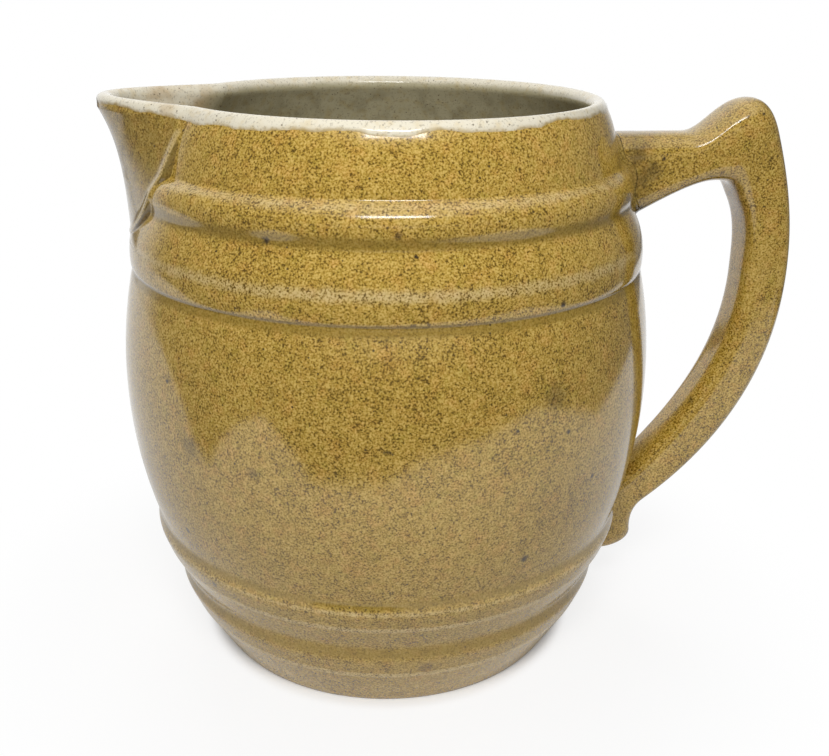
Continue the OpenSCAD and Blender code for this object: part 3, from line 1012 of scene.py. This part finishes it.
class Finish(Enum):
    """The glazes of the pitcher."""

    # The barrel's glaze paints more light higher up the barrel.
    BARREL = TanGlaze("barrel_glaze", painted_top_light=1.5, flecks=BARREL_MARKS)
    HANDLE = TanGlaze("handle_glaze", pooled=(0.12, 0.074, 0.006), flecks=HANDLE_MARKS)
    SPOUT = TanGlaze("spout_glaze", pooled=(0.12, 0.076, 0.008), deep=0.75, flecks=SPOUT_MARKS)
    SEAM = TanGlaze("seam_glaze", pooled=(0.085, 0.054, 0.006), deep=0.9)
    ROOT = TanGlaze(
        "root_glaze",
        dark=(0.09, 0.054, 0.006),
        tan=(0.24, 0.155, 0.022),
        light=(0.42, 0.29, 0.075),
        flecks=ROOT_MARKS,
    )
    LINER = LinerGlaze("cream_liner_glaze")


@dataclass
class Barrel:
    """The turned body with its hoops, foot ring, lip and the V cut for the spout.

    Attributes:
        under_rows: Rows of the section under the foot.
        wall_low: Height of the lowest row of the inside wall.
        corner_z: Heights of the highest and lowest row of the floor's round corner.
    """

    shape: BarrelShape
    spout: SpoutShape
    columns: int = 241
    under_rows: int = 7
    low_rows: int = 190
    high_rows: int = 70
    lip_rows: int = 18
    wall_rows: int = 30
    corner_rows: int = 12
    wall_low: float = 26.0
    corner_z: tuple[float, float] = (25.0, 7.01)
    start_z: float = 0.15

    def section(self) -> tuple[Array, Array, int, int]:
        """Rows of the section from the middle of the underside, over the lip, to the middle of the floor.

        Returns:
            Radii, heights, and the numbers of the first and last row that the V cuts.
        """
        s = self.shape
        edge = s.foot_r - s.foot_bevel
        ring = edge - s.foot_ring_w
        under_r = np.array([0.0, ring * 0.6, ring - 0.6, ring, ring, ring + 0.4, edge - 0.4])
        under_z = np.array([s.foot_recess] * 3 + [s.foot_recess - 0.4, 0.4, 0.0, 0.0])
        low = s.levels(self.start_z, self.spout.apex_z, self.low_rows)
        high = s.levels(self.spout.apex_z, s.lip_z, self.high_rows)[1:]
        turn = np.linspace(0, math.pi, self.lip_rows + 2)[1:-1]
        inside = high[::-1]
        wall = np.linspace(self.spout.apex_z, self.wall_low, self.wall_rows)
        bottom = np.concatenate([wall, np.linspace(*self.corner_z, self.corner_rows)])
        lip_r, lip_z = self.spout.lip(np.full_like(turn, math.pi), turn)
        out_r, in_r = s.outer(np.concatenate([low, high])), s.inner(np.concatenate([inside, bottom]))
        r = np.concatenate([under_r, out_r, lip_r, in_r, [0.0]])
        z = np.concatenate([under_z, low, high, lip_z, inside, bottom, [s.floor_z]])
        first = self.under_rows + len(low) - 1
        last = first + 2 * len(high) + len(turn) + 1
        return r, z, first, last

    def build(self) -> bpy.types.Object:
        """Turns the section round the axis, parted above the apex by the angle of the V.

        Returns:
            The piece; angles run evenly from one side of the V round to the other.
        """
        r, z, first, last = self.section()
        rows = np.arange(len(r))
        level = np.minimum(z, self.shape.lip_z)
        open_v = np.arcsin(self.spout.half_width(level) / self.shape.outer(level))
        part = np.where((rows >= first) & (rows <= last), np.maximum(open_v, 0.0), 0.0)
        share = np.linspace(0, 1, self.columns)
        angle = part[:, None] + share[None, :] * (2 * math.pi - 2 * part[:, None])
        surface = Surface.grid(turned(r[:, None], angle, z[:, None]))
        outside = (rows >= self.under_rows) & (rows <= first + self.high_rows)
        for name, values in (("thin", self.shape.thin(z)), ("pool", self.shape.pool(z))):
            surface.marks[name] = np.repeat(np.where(outside, values, 0.0), self.columns)
        surface.cap(np.arange(first, last + 1) * self.columns, self.columns - 1)
        return surface.dress("barrel", Finish.BARREL, "barrel_body", Slot.TAN)


@dataclass
class Spout:
    """The pressed spout with its raised border and round lip.

    Attributes:
        border: Width of the border that slides under the barrel's skin.
        sink: How deep it slides.
        foot: Height over which the apex rises from the barrel's skin.
    """

    shape: SpoutShape
    rows: int = 96
    columns: int = 161
    lip_rows: int = 18
    border: float = 1.6
    sink: float = 0.5
    foot: float = 2.5

    def build(self) -> bpy.types.Object:
        """Lofts closed sections across the spout: up the outside, over the lip and down the inside.

        Returns:
            The piece; its columns crowd at the borders as a sine does at its ends.
        """
        s, b = self.shape, self.shape.barrel
        low = s.apex_z - 0.6
        z = low + (b.lip_z - low) * np.linspace(0, 1, self.rows)[:, None] ** 1.3
        across = np.sin(np.linspace(-1, 1, self.columns) * math.pi / 2)[None, :]
        half = s.half_width(z)
        offset = across * (half + self.border)
        angle = np.arcsin(offset / b.outer(z))
        foot = 1.0 - smooth_step((z - low) / self.foot)
        slide = np.maximum(smooth_step((np.abs(offset) - half + 0.4) / self.border), foot)
        ridge = s.ridge(angle, z)
        skin = np.where(s.across(angle, z) < 1.0, s.outer(angle, z), b.wrapped(z))
        outside = turned(skin + ridge - (self.sink + s.step(z)) * slide, angle, z)
        inside = turned(s.inner(angle, z) + 0.05, angle, z)[::-1]
        turn = np.linspace(0, math.pi, self.lip_rows + 2)[1:-1, None]
        lip_r, lip_z = s.lip(np.repeat(angle[-1:], self.lip_rows, 0), turn)
        points = np.concatenate([outside, turned(lip_r, angle[-1:], lip_z), inside])
        surface = Surface.grid(points, wrap_rows=True)
        keel = bell(np.abs(offset) / np.maximum(half, 0.5), 0.0, 0.16)
        hollow = smooth_step((s.inset(angle, z) - 1.6) / 2.0) * (1.0 - keel)
        corner = smooth_step((np.abs(offset) - half + 1.1) / 0.8) * np.clip(s.step(z) / 0.6, 0.3, 1.0)
        thin, pool = np.zeros(points.shape[:2]), np.zeros(points.shape[:2])
        thin[: self.rows] = np.clip(ridge / s.ridge_h * 0.85 + 0.5 * keel, 0.0, 1.0)
        pool[: self.rows] = np.clip(0.5 * hollow + 1.1 * corner, 0.0, 1.0)
        surface.marks.update(thin=thin.ravel(), pool=pool.ravel())
        surface.cap(np.arange(len(points)) * self.columns, self.columns - 1)
        return surface.dress("pouring_spout", Finish.SPOUT, "spout", Slot.TAN)


@dataclass
class SpoutSlip:
    """Concave line of slip and pooled glaze outside the border of the spout.

    Attributes:
        wide: Width of the line.
        under: How far it goes under the border.
        deep: Its height at the border.
        edge: How deep its thin edge is sunk in the barrel.
        bed: How deep its back is sunk in the barrel.
    """

    shape: SpoutShape
    along: int = 90
    fan: int = 11
    across: int = 13
    wide: float = 2.6
    under: float = 0.7
    deep: float = 0.7
    edge: float = 0.12
    bed: float = 0.5

    def path(self) -> tuple[Array, Array, Array, Array]:
        """The seam from one end to the other by way of the apex.

        Returns:
            Offsets from the spout's plane, heights, and the two parts of the direction square to the seam and
            away from the spout, which fans out at the apex.
        """
        s = self.shape
        z = np.linspace(s.barrel.lip_z - 2.5, s.apex_z, self.along)
        length = np.sqrt(1.0 + s.flare(z) ** 2)
        side, down = 1.0 / length, -s.flare(z) / length
        aim = math.atan2(down[-1], side[-1])
        turn = np.linspace(aim, -math.pi - aim, self.fan)[1:-1]
        apex = np.zeros(self.fan - 2)
        half = s.half_width(z)
        offset = np.concatenate([half, apex, -half[::-1]])
        height = np.concatenate([z, apex + s.apex_z, z[::-1]])
        side = np.concatenate([side, np.cos(turn), -side[::-1]])
        down = np.concatenate([down, np.sin(turn), down[::-1]])
        return offset, height, side, down

    def build(self) -> bpy.types.Object:
        """Carries a concave section along the seam: its height is the square of the way across.

        Returns:
            The piece, flattened towards its ends and the apex.
        """
        b = self.shape.barrel
        share = np.concatenate([np.linspace(0, 1, self.across), [1.0, 0.0]])[:, None]
        back = np.array([0.0] * self.across + [1.0, 1.0])[:, None]
        offset, height, side, down = (values[None, :] for values in self.path())
        away = self.wide * (1.0 - share) - self.under
        z = height + down * away
        angle = np.arcsin((offset + side * away) / b.outer(z))
        ends = smooth_step((b.lip_z - z) / 7.0) * smooth_step((z - self.shape.apex_z) / 9.0)
        lift = self.deep * share**2 * ends - self.edge * (1 - share) - self.bed * back
        surface = Surface.grid(turned(b.outer(z) + lift, angle, z), wrap_rows=True)
        depth = np.clip(self.shape.step(z) / 0.5, 0.0, 1.0)
        surface.marks["pool"] = (depth * smooth_step((share - 0.3) / 0.55)).ravel()
        columns = offset.shape[1]
        surface.cap(np.arange(len(share)) * columns, columns - 1)
        return surface.dress("spout_seam", Finish.SEAM, "spout_slip_joint", Slot.SLIP)


Knots = tuple[tuple[float, float, float], ...]


@dataclass(frozen=True)
class HandleShape:
    """The moulded handle in its own plane: knots are distance from the axis, height and direction in degrees.

    Attributes:
        outer_knots: Knots of the edge away from the barrel.
        inner_knots: Knots of the edge towards it.
        widths: Width at each knot.
        crown: How far the middle of the outer side stands above its edges at each knot.
        hollow: The same for the inner side.
        pull: Length of a curve's handles as a share of the way between knots.
        squareness: Power of the rounded square that the section is, at each knot.
    """

    outer_knots: Knots = (
        (65.5, 168.4, 0.0),
        (95.0, 168.6, 0.0),
        (115.8, 179.1, 0.0),
        (125.0, 168.9, -70.0),
        (134.4, 121.0, -90.0),
        (92.15, 38.2, -142.0),
        (88.8, 25.96, -83.0),
        (78.0, 17.8, -180.0),
        (66.4, 17.8, -180.0),
    )
    inner_knots: Knots = (
        (65.5, 136.4, 20.0),
        (95.0, 150.9, 24.0),
        (108.0, 153.4, -6.0),
        (114.25, 145.9, -62.0),
        (118.0, 121.0, -90.0),
        (84.95, 50.4, -132.0),
        (66.4, 38.2, -140.0),
        (61.4, 31.4, -120.0),
        (61.4, 22.8, -90.0),
    )
    widths: tuple[float, ...] = (20.0, 20.0, 22.0, 20.0, 18.0, 18.0, 18.0, 12.0, 12.0)
    crown: tuple[float, ...] = (2.2, 2.2, 2.2, 1.8, 1.0, 0.8, 0.8, 0.6, 0.6)
    hollow: float = 0.3
    pull: float = 0.36
    squareness: tuple[float, ...] = (4.6, 4.4, 4.2, 4.2, 4.3, 4.2, 4.2, 4.0, 4.0)

    def edge(self, knots: Knots, t: Array) -> Array:
        """Smooth edge through knots.

        Args:
            knots: The knots of one edge.
            t: Places along it, in knots.

        Returns:
            Points as distance and height: a cubic curve between knots, its handles a share of the way.
        """
        k = np.array(knots)
        i = np.clip(np.floor(t).astype(int), 0, len(k) - 2)
        p, q = k[i, :2], k[i + 1, :2]
        lead = self.pull * np.linalg.norm(q - p, axis=-1, keepdims=True)
        aim = np.radians(k[:, 2])
        way = np.stack([np.cos(aim), np.sin(aim)], -1)
        return bezier((p, p + lead * way[i], q - lead * way[i + 1], q), (t - i)[..., None])

    def points(self, t: Array, turn: Array) -> Array:
        """Points of the handle's skin.

        Args:
            t: Places along the handle, in knots.
            turn: Turns round the section, 0 on the outer edge.

        Returns:
            Points in space: between outer and inner edge, on a rounded square whose corners come from a power
            and whose outer and inner side are crowned by the square of the way across.
        """
        t, turn = np.broadcast_arrays(t, turn)
        out, hole = self.edge(self.outer_knots, t), self.edge(self.inner_knots, t)
        number = np.arange(len(self.widths))
        rows = (self.widths, self.crown, self.squareness)
        width, crown, squareness = (np.interp(t, number, row) for row in rows)
        c, s = np.cos(turn), np.sin(turn)
        x, y = (np.sign(v) * np.abs(v) ** (2.0 / squareness) for v in (c, s))
        sag = (crown * np.maximum(x, 0.0) + self.hollow * np.minimum(x, 0.0)) * y**2
        across = out - hole
        mid = (out + hole) / 2 + across / 2 * x[..., None]
        mid = mid - across / np.linalg.norm(across, axis=-1, keepdims=True) * sag[..., None]
        return np.stack([mid[..., 0], width / 2 * y, mid[..., 1]], -1)


@dataclass
class Handle:
    """The handle and the fillets of slip at its two roots.

    Attributes:
        fillet: Reach of a fillet along the handle and along the barrel.
        fillet_rows: Rows across a fillet.
        bed: How far the back of a fillet lies inside the barrel.
        bury: How deep the thin edge of a fillet is sunk in the barrel.
        sunk: How deep the handle's own ends are sunk in the barrel.
        upper: Places on the arm inside the barrel and clear of it, in knots.
        lower: The same on the tail.
    """

    shape: HandleShape
    barrel: BarrelShape
    along: int = 241
    around: int = 96
    fillet: float = 2.2
    fillet_rows: int = 9
    bed: float = 1.5
    bury: float = 0.06
    sunk: float = 2.5
    upper: tuple[float, float] = (0.0, 1.2)
    lower: tuple[float, float] = (8.0, 4.6)

    @property
    def turns(self) -> Array:
        """Places round the section, evenly spaced."""
        return np.arange(self.around) / self.around * 2 * math.pi

    def clear(self, span: tuple[float, float], sunk: float = 0.0) -> Array:
        """Place where each line of the skin leaves the barrel.

        Args:
            span: Places on the handle inside the barrel and clear of it, in knots.
            sunk: Depth under the barrel's skin to stop at.

        Returns:
            The places in knots, one for each line round the section.
        """
        t = np.linspace(*span, 900)
        lines = self.shape.points(t[:, None], self.turns[None, :])
        gap = np.hypot(lines[..., 0], lines[..., 1]) - self.barrel.outer(lines[..., 2]) + sunk
        inside = len(t) - 1 - np.argmax((gap < 0)[::-1], axis=0)
        return t[np.minimum(inside + 1, len(t) - 1)]

    def build(self) -> bpy.types.Object:
        """Carries the rounded section along the handle and closes its ends in the barrel's wall.

        Returns:
            The piece.
        """
        t = np.linspace(self.upper[0], self.lower[0], self.along)[:, None]
        t = np.clip(t, self.clear(self.upper, self.sunk), self.clear(self.lower, self.sunk))
        surface = Surface.grid(self.shape.points(t, self.turns[None, :]), wrap_columns=True)
        corner = np.abs(np.sin(2 * self.turns)) ** 3
        surface.marks["thin"] = np.tile(corner * 0.35, self.along)
        surface.marks["pool"] = (0.7 * bell(t, 0.42, 0.3) + 0.4 * bell(t, 5.8, 0.5)).ravel()
        surface.cap(np.arange(self.around), self.around * (self.along - 1))
        return surface.dress("moulded_handle", Finish.HANDLE, "handle", Slot.TAN)

    def root(self, name: str, node: str, span: tuple[float, float]) -> bpy.types.Object:
        """Fillet of slip round one root.

        Args:
            name: Name of the piece.
            node: Solid of the frame that it stands for.
            span: Places on the handle inside the barrel and clear of it, in knots.

        Returns:
            The fillet: for each line of the skin, a curve from skin to barrel about their meeting point.
        """
        away = span[1] - span[0]
        probe = away * 0.002
        meet_t = self.clear(span)
        meet = self.shape.points(meet_t, self.turns)
        speed = np.linalg.norm(self.shape.points(meet_t + probe, self.turns) - meet, axis=-1) / abs(probe)
        up = self.shape.points(meet_t + np.sign(away) * self.fillet / np.maximum(speed, 1e-6), self.turns)
        spread = meet - meet.mean(0)
        spread /= np.linalg.norm(spread, axis=-1, keepdims=True)
        foot = meet + spread * self.fillet
        scale = (self.barrel.outer(foot[:, 2]) - self.bury) / np.hypot(foot[:, 0], foot[:, 1])
        foot = np.stack([foot[:, 0] * scale, foot[:, 1] * scale, foot[:, 2]], -1)
        s = np.linspace(0, 1, self.fillet_rows)[:, None, None]
        curve = (1 - s) ** 2 * up + 2 * s * (1 - s) * meet + s**2 * foot
        inside = meet - np.array([self.bed, 0.0, 0.0])
        surface = Surface.grid(np.concatenate([curve, inside[None]]), wrap_rows=True, wrap_columns=True)
        surface.marks["pool"] = np.full(len(surface.points), 0.5)
        return surface.dress(name, Finish.ROOT, node, Slot.SLIP)


@dataclass
class Liner:
    """The cream liner glaze: one skin over the lip of barrel and spout, the inside wall and the floor.

    Attributes:
        thick: Thickness of the glaze on the clay.
        back: Depth of its back in the clay.
        lap: Mean way from the crest of the lip down to its outer edge.
        seam_lap: What the lap gains beside the seams, about the angle seam_turn.
        drip: What the lap gains at the drip in front, about the angle drip_turn.
        wave_order: Waves of the edge round the pitcher.
        wave_size: Heights of those waves.
        wave_turn: Angle that they are turned by.
        lap_fade: Way above the outer edge that its brown colour takes.
        full_depth: Way under the rim at which the inside has the full painted shade.
    """

    shape: SpoutShape
    thick: float = 0.25
    back: float = 0.3
    lap: float = 4.7
    seam_lap: float = 1.5
    seam_turn: float = 0.78
    seam_wide: float = 0.24
    drip: float = 0.6
    drip_turn: float = 1.53
    drip_wide: float = 0.115
    wave_order: tuple[int, ...] = (3, 5, 8, 13, 21, 34, 55, 80)
    wave_size: tuple[float, ...] = (0.18, 0.21, 0.26, 0.33, 0.24, 0.14, 0.08, 0.05)
    wave_turn: float = 0.05
    lap_fade: float = 1.6
    full_depth: float = 22.0
    near_turn: float = 0.66
    near_columns: int = 132
    far_columns: int = 142
    lap_rows: int = 27
    lip_rows: int = 13
    seed: int = 7

    def angles(self) -> Array:
        """Angles round the pitcher, closer together at the spout."""
        near = np.linspace(-self.near_turn, self.near_turn, self.near_columns)
        return np.concatenate([near, np.linspace(near[-1], 2 * math.pi + near[0], self.far_columns)[1:-1]])

    def edge(self, angle: Array) -> Array:
        """Way from the crest of the lip down to the glaze's wavy edge.

        Args:
            angle: Angles from the spout's plane.

        Returns:
            The mean way, plus a bell beside each seam, a flatter bell for the drip and sines.
        """
        dice = np.random.default_rng(self.seed)
        phase = dice.uniform(0, 2 * math.pi, len(self.wave_order))
        turns = np.array(self.wave_order) * (angle[:, None] - self.wave_turn)
        wave = (np.array(self.wave_size) * np.sin(turns + phase)).sum(1)
        turn = np.abs((angle + math.pi) % (2 * math.pi) - math.pi)
        seam = self.seam_lap * bell(turn, self.seam_turn, self.seam_wide)
        drip = self.drip * np.exp(-(((angle - self.drip_turn) / self.drip_wide) ** 4))
        return self.lap + seam + drip + wave

    def levels(self, grow: float) -> Array:
        """Rows of the inside, closest together near the rim.

        Args:
            grow: Distance of the skin from the clay.

        Returns:
            Their heights from under the lip down to the floor, as a column.
        """
        b = self.shape.barrel
        runs = ((b.lip_z - 0.5, 140.0, 44), (138.0, 27.0, 36), (25.0, b.floor_z + 0.02 + grow, 12))
        return np.concatenate([np.linspace(*run) for run in runs])[:, None]

    def skin(self, angle: Array, grow: float) -> tuple[Array, Array, Array, Array]:
        """Rows of the skin from its outer edge over the lip to the middle of the floor.

        Args:
            angle: Angles round the pitcher.
            grow: Distance of the skin from the clay, below 0 inside the clay.

        Returns:
            Points, way above the outer edge in millimetres, depth inside from 0 to 1, and share of the spout.
        """
        s, b = self.shape, self.shape.barrel
        edge = self.edge(angle)[None, :]
        share = np.linspace(0, 1, self.lap_rows + 1)[:-1, None]
        way = edge * (1 - share)
        thick = grow * smooth_step(share / 0.35) - 0.1 * (1 - smooth_step(share / 0.3))
        span = np.broadcast_to(angle[None, :], way.shape)
        below = np.maximum(way - b.lip_r * math.pi / 2, 0.0)
        out_r, out_z = s.lip(span, np.maximum(math.pi / 2 - way / b.lip_r, 0.0), thick)
        out_r = out_r + s.outer(span, b.lip_z - below) - s.outer(span, np.full_like(way, b.lip_z))
        out = turned(out_r, span, out_z - below)
        turn = np.linspace(math.pi / 2, math.pi, self.lip_rows)[:, None]
        lip_r, lip_z = s.lip(np.repeat(angle[None, :], self.lip_rows, 0), turn, grow)
        lip = turned(lip_r, angle[None, :], lip_z)
        in_z = self.levels(grow)
        wide = np.broadcast_to(angle[None, :], (len(in_z), len(angle)))
        gap = lip_r[-1:] - (s.inner(wide[:1], in_z[:1]) - grow)
        ease = gap * (1 - smooth_step((b.lip_z - in_z) / 6.0))
        wall = turned(s.inner(wide, in_z) - grow + ease, wide, in_z)
        floor = turned(np.array([[30.0], [12.0], [0.0]]), angle[None, :], np.full((3, 1), b.floor_z + grow))
        points = np.concatenate([out, lip, wall, floor])
        up = np.full(points.shape[:2], self.lap)
        up[: self.lap_rows] = edge * share
        depth = np.clip((b.rim_z - points[..., 2]) / self.full_depth, 0, 1)
        depth[: self.lap_rows] = 0.0
        beak = s.fall(s.across(angle, np.full_like(angle, b.lip_z)))
        beak = np.repeat(beak[None, :], len(points), 0)
        # Depth sets the painted shade inside; the spout gets less of it.
        return points, up, depth * (1 - 0.75 * smooth_step(beak * 3.0)), beak

    def build(self) -> bpy.types.Object:
        """Joins the skin and its back in the clay to one closed piece.

        Returns:
            The piece.
        """
        angle = self.angles()
        face, up, depth, beak = self.skin(angle, self.thick)
        back = self.skin(angle, -self.back)[0][::-1]
        surface = Surface.grid(np.concatenate([face, back]), wrap_rows=True, wrap_columns=True)
        marks = {"lap": up / self.lap_fade, "depth": depth, "spout": smooth_step(beak * 4.0)}
        for name, values in marks.items():
            surface.marks[name] = np.concatenate([values, np.zeros(back.shape[:2])]).ravel()
        surface.weld()
        return surface.dress("liner", Finish.LINER, "liner_glaze", Slot.CREAM)


@dataclass
class Studio:
    """Camera, lamps, white sheet under the pitcher, a glowing screen for a dark room in front of it and white
    backdrop.

    Attributes:
        eye: Place of the camera in millimetres, before it swings round the pitcher.
        pitch: Its look down, in degrees.
        yaw: Its look to the right, in degrees.
        swing: Its turn round the pitcher, in degrees.
        focus_px: Its focal length in pixels of a picture that is image_w wide.
        sheet_turn: Directions round the pitcher in degrees, 0 towards the camera.
        sheet_reach: Millimetres from the axis to the edge of the white sheet in those directions.
        sheet_edge: Width of that soft edge in millimetres.
        room_r: Radius of the dark room in metres.
        room_turn: Its ends in degrees, 0 towards the camera.
        room_lift: Its lowest and highest lift above the table in degrees.
        room_side: Turns to the left and right from which it grows lighter.
        room_shade: Its brightness.
    """

    eye: tuple[float, float, float] = (0.0, -320.0, 211.8)
    pitch: float = 21.47
    yaw: float = 1.52
    swing: float = -4.0
    focus_px: float = 1003.7
    image_w: float = 829.0
    sensor_w: float = 36.0
    sheet_turn: tuple[float, ...] = (
        *(-180, -112, -92, -80, -71, -62, -51, -41, -30),
        *(-6, 10, 32, 52, 65, 82, 96, 180),
    )
    sheet_reach: tuple[float, ...] = (
        *(900, 800, 450, 275, 225, 370, 500, 350, 238),
        *(240, 317, 381, 500, 425, 328, 400, 900),
    )
    sheet_edge: float = 42.0
    room_r: float = 0.95
    room_turn: tuple[float, float] = (-138.0, 158.0)
    room_lift: tuple[float, float] = (-1.0, 64.0)
    room_side: tuple[float, float] = (107.0, 132.0)
    room_shade: float = 0.2

    def camera(self) -> None:
        """Sets the camera in front of the pitcher, a little above the rim."""
        data = bpy.data.cameras.new("camera")
        data.sensor_width = self.sensor_w
        data.lens = self.focus_px / self.image_w * data.sensor_width
        data.clip_start, data.clip_end = 0.01, 60.0
        piece = bpy.data.objects.new("camera", data)
        p, y = math.radians(self.pitch), math.radians(self.yaw)
        right, ahead = Vector((1, 0, 0)), Vector((0, math.cos(p), -math.sin(p)))
        up = Vector((0, math.sin(p), math.cos(p)))
        aim = math.sin(y) * right + math.cos(y) * ahead
        side = math.cos(y) * right - math.sin(y) * ahead
        turn = Matrix((side, up, -aim)).transposed().to_4x4()
        place = Matrix.Translation(Vector(self.eye) * MM)
        piece.matrix_world = Matrix.Rotation(math.radians(self.swing), 4, "Z") @ place @ turn
        bpy.context.scene.collection.objects.link(piece)
        bpy.context.scene.camera = piece

    @staticmethod
    def lamp(
        name: str, at: tuple[float, float, float], size: tuple[float, float], watts: float, mirrored: bool
    ) -> None:
        """Adds a soft rectangular lamp that faces the pitcher.

        Args:
            name: Name of the lamp.
            at: Its place in metres.
            size: Its width and height in metres.
            watts: Its power.
            mirrored: Whether the glaze mirrors it.
        """
        data = bpy.data.lights.new(name, "AREA")
        data.shape, data.size, data.size_y, data.energy = "RECTANGLE", *size, watts
        piece = bpy.data.objects.new(name, data)
        piece.location = at
        piece.rotation_mode = "QUATERNION"
        piece.rotation_quaternion = (Vector((0.0, 0.0, 0.1)) - Vector(at)).to_track_quat("-Z", "Y")
        piece.visible_glossy = mirrored
        bpy.context.scene.collection.objects.link(piece)

    @staticmethod
    def place(name: str, surface: Surface, made: bpy.types.Material) -> bpy.types.Object:
        """Makes a piece of the stage.

        Args:
            name: Name of the piece.
            surface: Its points in metres, its faces and marks.
            made: Its material.

        Returns:
            The new object.
        """
        piece = surface.mesh(name, made, 1.0)
        return piece

    @staticmethod
    def seen(sheet: NodeSheet) -> tuple[Wire, Wire]:
        """Tells rays apart.

        Args:
            sheet: Node tree to add to.

        Returns:
            Whether a ray comes from the camera, and whether from the camera, a mirror or a clear body.
        """
        kinds = ("Is Camera Ray", "Is Glossy Ray", "Is Transmission Ray")
        camera, mirror, clear = (sheet.add("ShaderNodeLightPath", None, None, kind) for kind in kinds)
        return camera, sheet.math("MAXIMUM", camera, sheet.math("MAXIMUM", mirror, clear))

    def floor(self) -> None:
        """Lays the table: a white sheet about the pitcher, darker beyond its edge, white for the camera."""
        turn = np.radians(np.arange(0, 360, 2.0) - 180.0)
        reach = np.interp(np.degrees(turn), self.sheet_turn, self.sheet_reach) * MM
        close, wide = np.arange(0.058, 0.08, 0.001), np.arange(0.08, 0.7, 0.012)
        radius = np.concatenate([[0.0, 0.05], close, wide, [0.8, 1.2, 4.0, 12.0]])[:, None] + 0 * turn
        points = np.stack([radius * np.sin(turn), -radius * np.cos(turn), 0 * radius], -1)
        surface = Surface.grid(points, wrap_columns=True)
        surface.quads = surface.quads[:, ::-1]
        clear = 0.2 + 0.6 * smooth_step((radius - 0.0605) / 0.006) + 0.2 * smooth_step((radius - 0.066) / 0.1)
        surface.marks["sheet"] = smooth_step((reach - radius) / (self.sheet_edge * MM) + 0.5).ravel()
        surface.marks["far"] = smooth_step((radius - 0.08) / 0.14).ravel()
        surface.marks["clear"] = clear.ravel()
        made = bpy.data.materials.new("white_table")
        sheet = NodeSheet(made)
        camera, seen = self.seen(sheet)
        white, far = sheet.mark("sheet"), sheet.mark("far")
        paper = sheet.mix(far, (0.94, 0.94, 0.94), (0.7, 0.7, 0.7))
        paper = sheet.mix(white, (0.2, 0.2, 0.2), paper)
        lit = sheet.add("ShaderNodeBsdfDiffuse", None, {"Color": paper})
        shown = sheet.mix(sheet.math("MAXIMUM", camera, white), (self.room_shade,) * 3, WHITE)
        bright = sheet.math("MAXIMUM", seen * far, camera * sheet.mark("clear"))
        sheet.show(sheet.add("ShaderNodeMixShader", None, {0: bright, 1: lit, 2: sheet.glow(shown)}))
        self.place("floor", surface, made)

    def room(self) -> None:
        """Hangs a screen behind the camera that glows by itself and that only reflections see: a painted dark
        room for the glaze to mirror, lighter above and at its sides.
        """
        turn = np.linspace(*self.room_turn, 97)[None, :]
        lift = np.linspace(*self.room_lift, 40)[:, None]
        t, u = np.radians(turn), np.radians(lift)
        points = np.stack([np.cos(u) * np.sin(t), -np.cos(u) * np.cos(t), np.sin(u) + 0 * t], -1)
        surface = Surface.grid(points * self.room_r)
        left, right = self.room_side
        high = 0.55 * smooth_step((lift - 38.0) / 18.0)
        side = smooth_step((np.abs(turn) - np.where(turn > 0, right, left)) / 24.0)
        # Painted reflections: a pale card low in front and a bright panel above it.
        card = 0.45 * bell(turn, 0.0, 28.0) * bell(lift, 16.0, 6.0)
        panel = 1.2 * bell(turn, 0.0, 27.0) * smooth_step((lift - 42.0) / 14.0)
        shade = self.room_shade + (1.0 - self.room_shade) * np.maximum(high, side) + card
        surface.marks["shade"] = (np.minimum(shade, 1.0) + panel).ravel()
        made = bpy.data.materials.new("dark_room")
        sheet = NodeSheet(made)
        sheet.show(sheet.glow(sheet.mark("shade")))
        piece = self.place("room", surface, made)
        piece.visible_camera = piece.visible_diffuse = False
        piece.visible_shadow = piece.visible_transmission = False

    def world(self) -> None:
        """Lights the room faintly; what the camera and reflections see of it is white."""
        made = bpy.data.worlds.new("studio")
        bpy.context.scene.world = made
        sheet = NodeSheet(made)
        colour = sheet.mix(self.seen(sheet)[1], (0.07, 0.07, 0.07), WHITE)
        light = sheet.add("ShaderNodeBackground", None, {"Color": colour, "Strength": 1.0})
        sheet.add("ShaderNodeOutputWorld", None, {"Surface": light})

    def build(self) -> None:
        """Sets up the whole studio."""
        self.camera()
        self.floor()
        self.room()
        self.world()
        self.lamp("key", (-0.08, -0.61, 0.75), (0.34, 0.26), 5.6, False)
        self.lamp("fill", (-0.12, 0.74, 0.62), (0.6, 0.5), 3.6, False)
        self.lamp("strip", (0.0, -0.53, 0.69), (0.33, 0.1), 1.15, True)
        bpy.context.scene.view_settings.view_transform = "Standard"


def main() -> None:
    """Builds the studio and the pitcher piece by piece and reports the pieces."""
    logging.basicConfig(level=logging.INFO)
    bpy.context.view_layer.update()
    barrel = BarrelShape()
    spout = SpoutShape(barrel)
    handle = Handle(HandleShape(), barrel)
    Studio().build()
    pieces = [
        Barrel(barrel, spout).build(),
        Spout(spout).build(),
        SpoutSlip(spout).build(),
        handle.build(),
        handle.root("upper_root", "handle_upper_slip_joint", handle.upper),
        handle.root("lower_root", "handle_lower_slip_joint", handle.lower),
        Liner(spout).build(),
    ]
    for piece in pieces:
        log.info("%s: %d points, %d faces", piece.name, len(piece.data.vertices), len(piece.data.polygons))


if __name__ == "__main__":
    main()
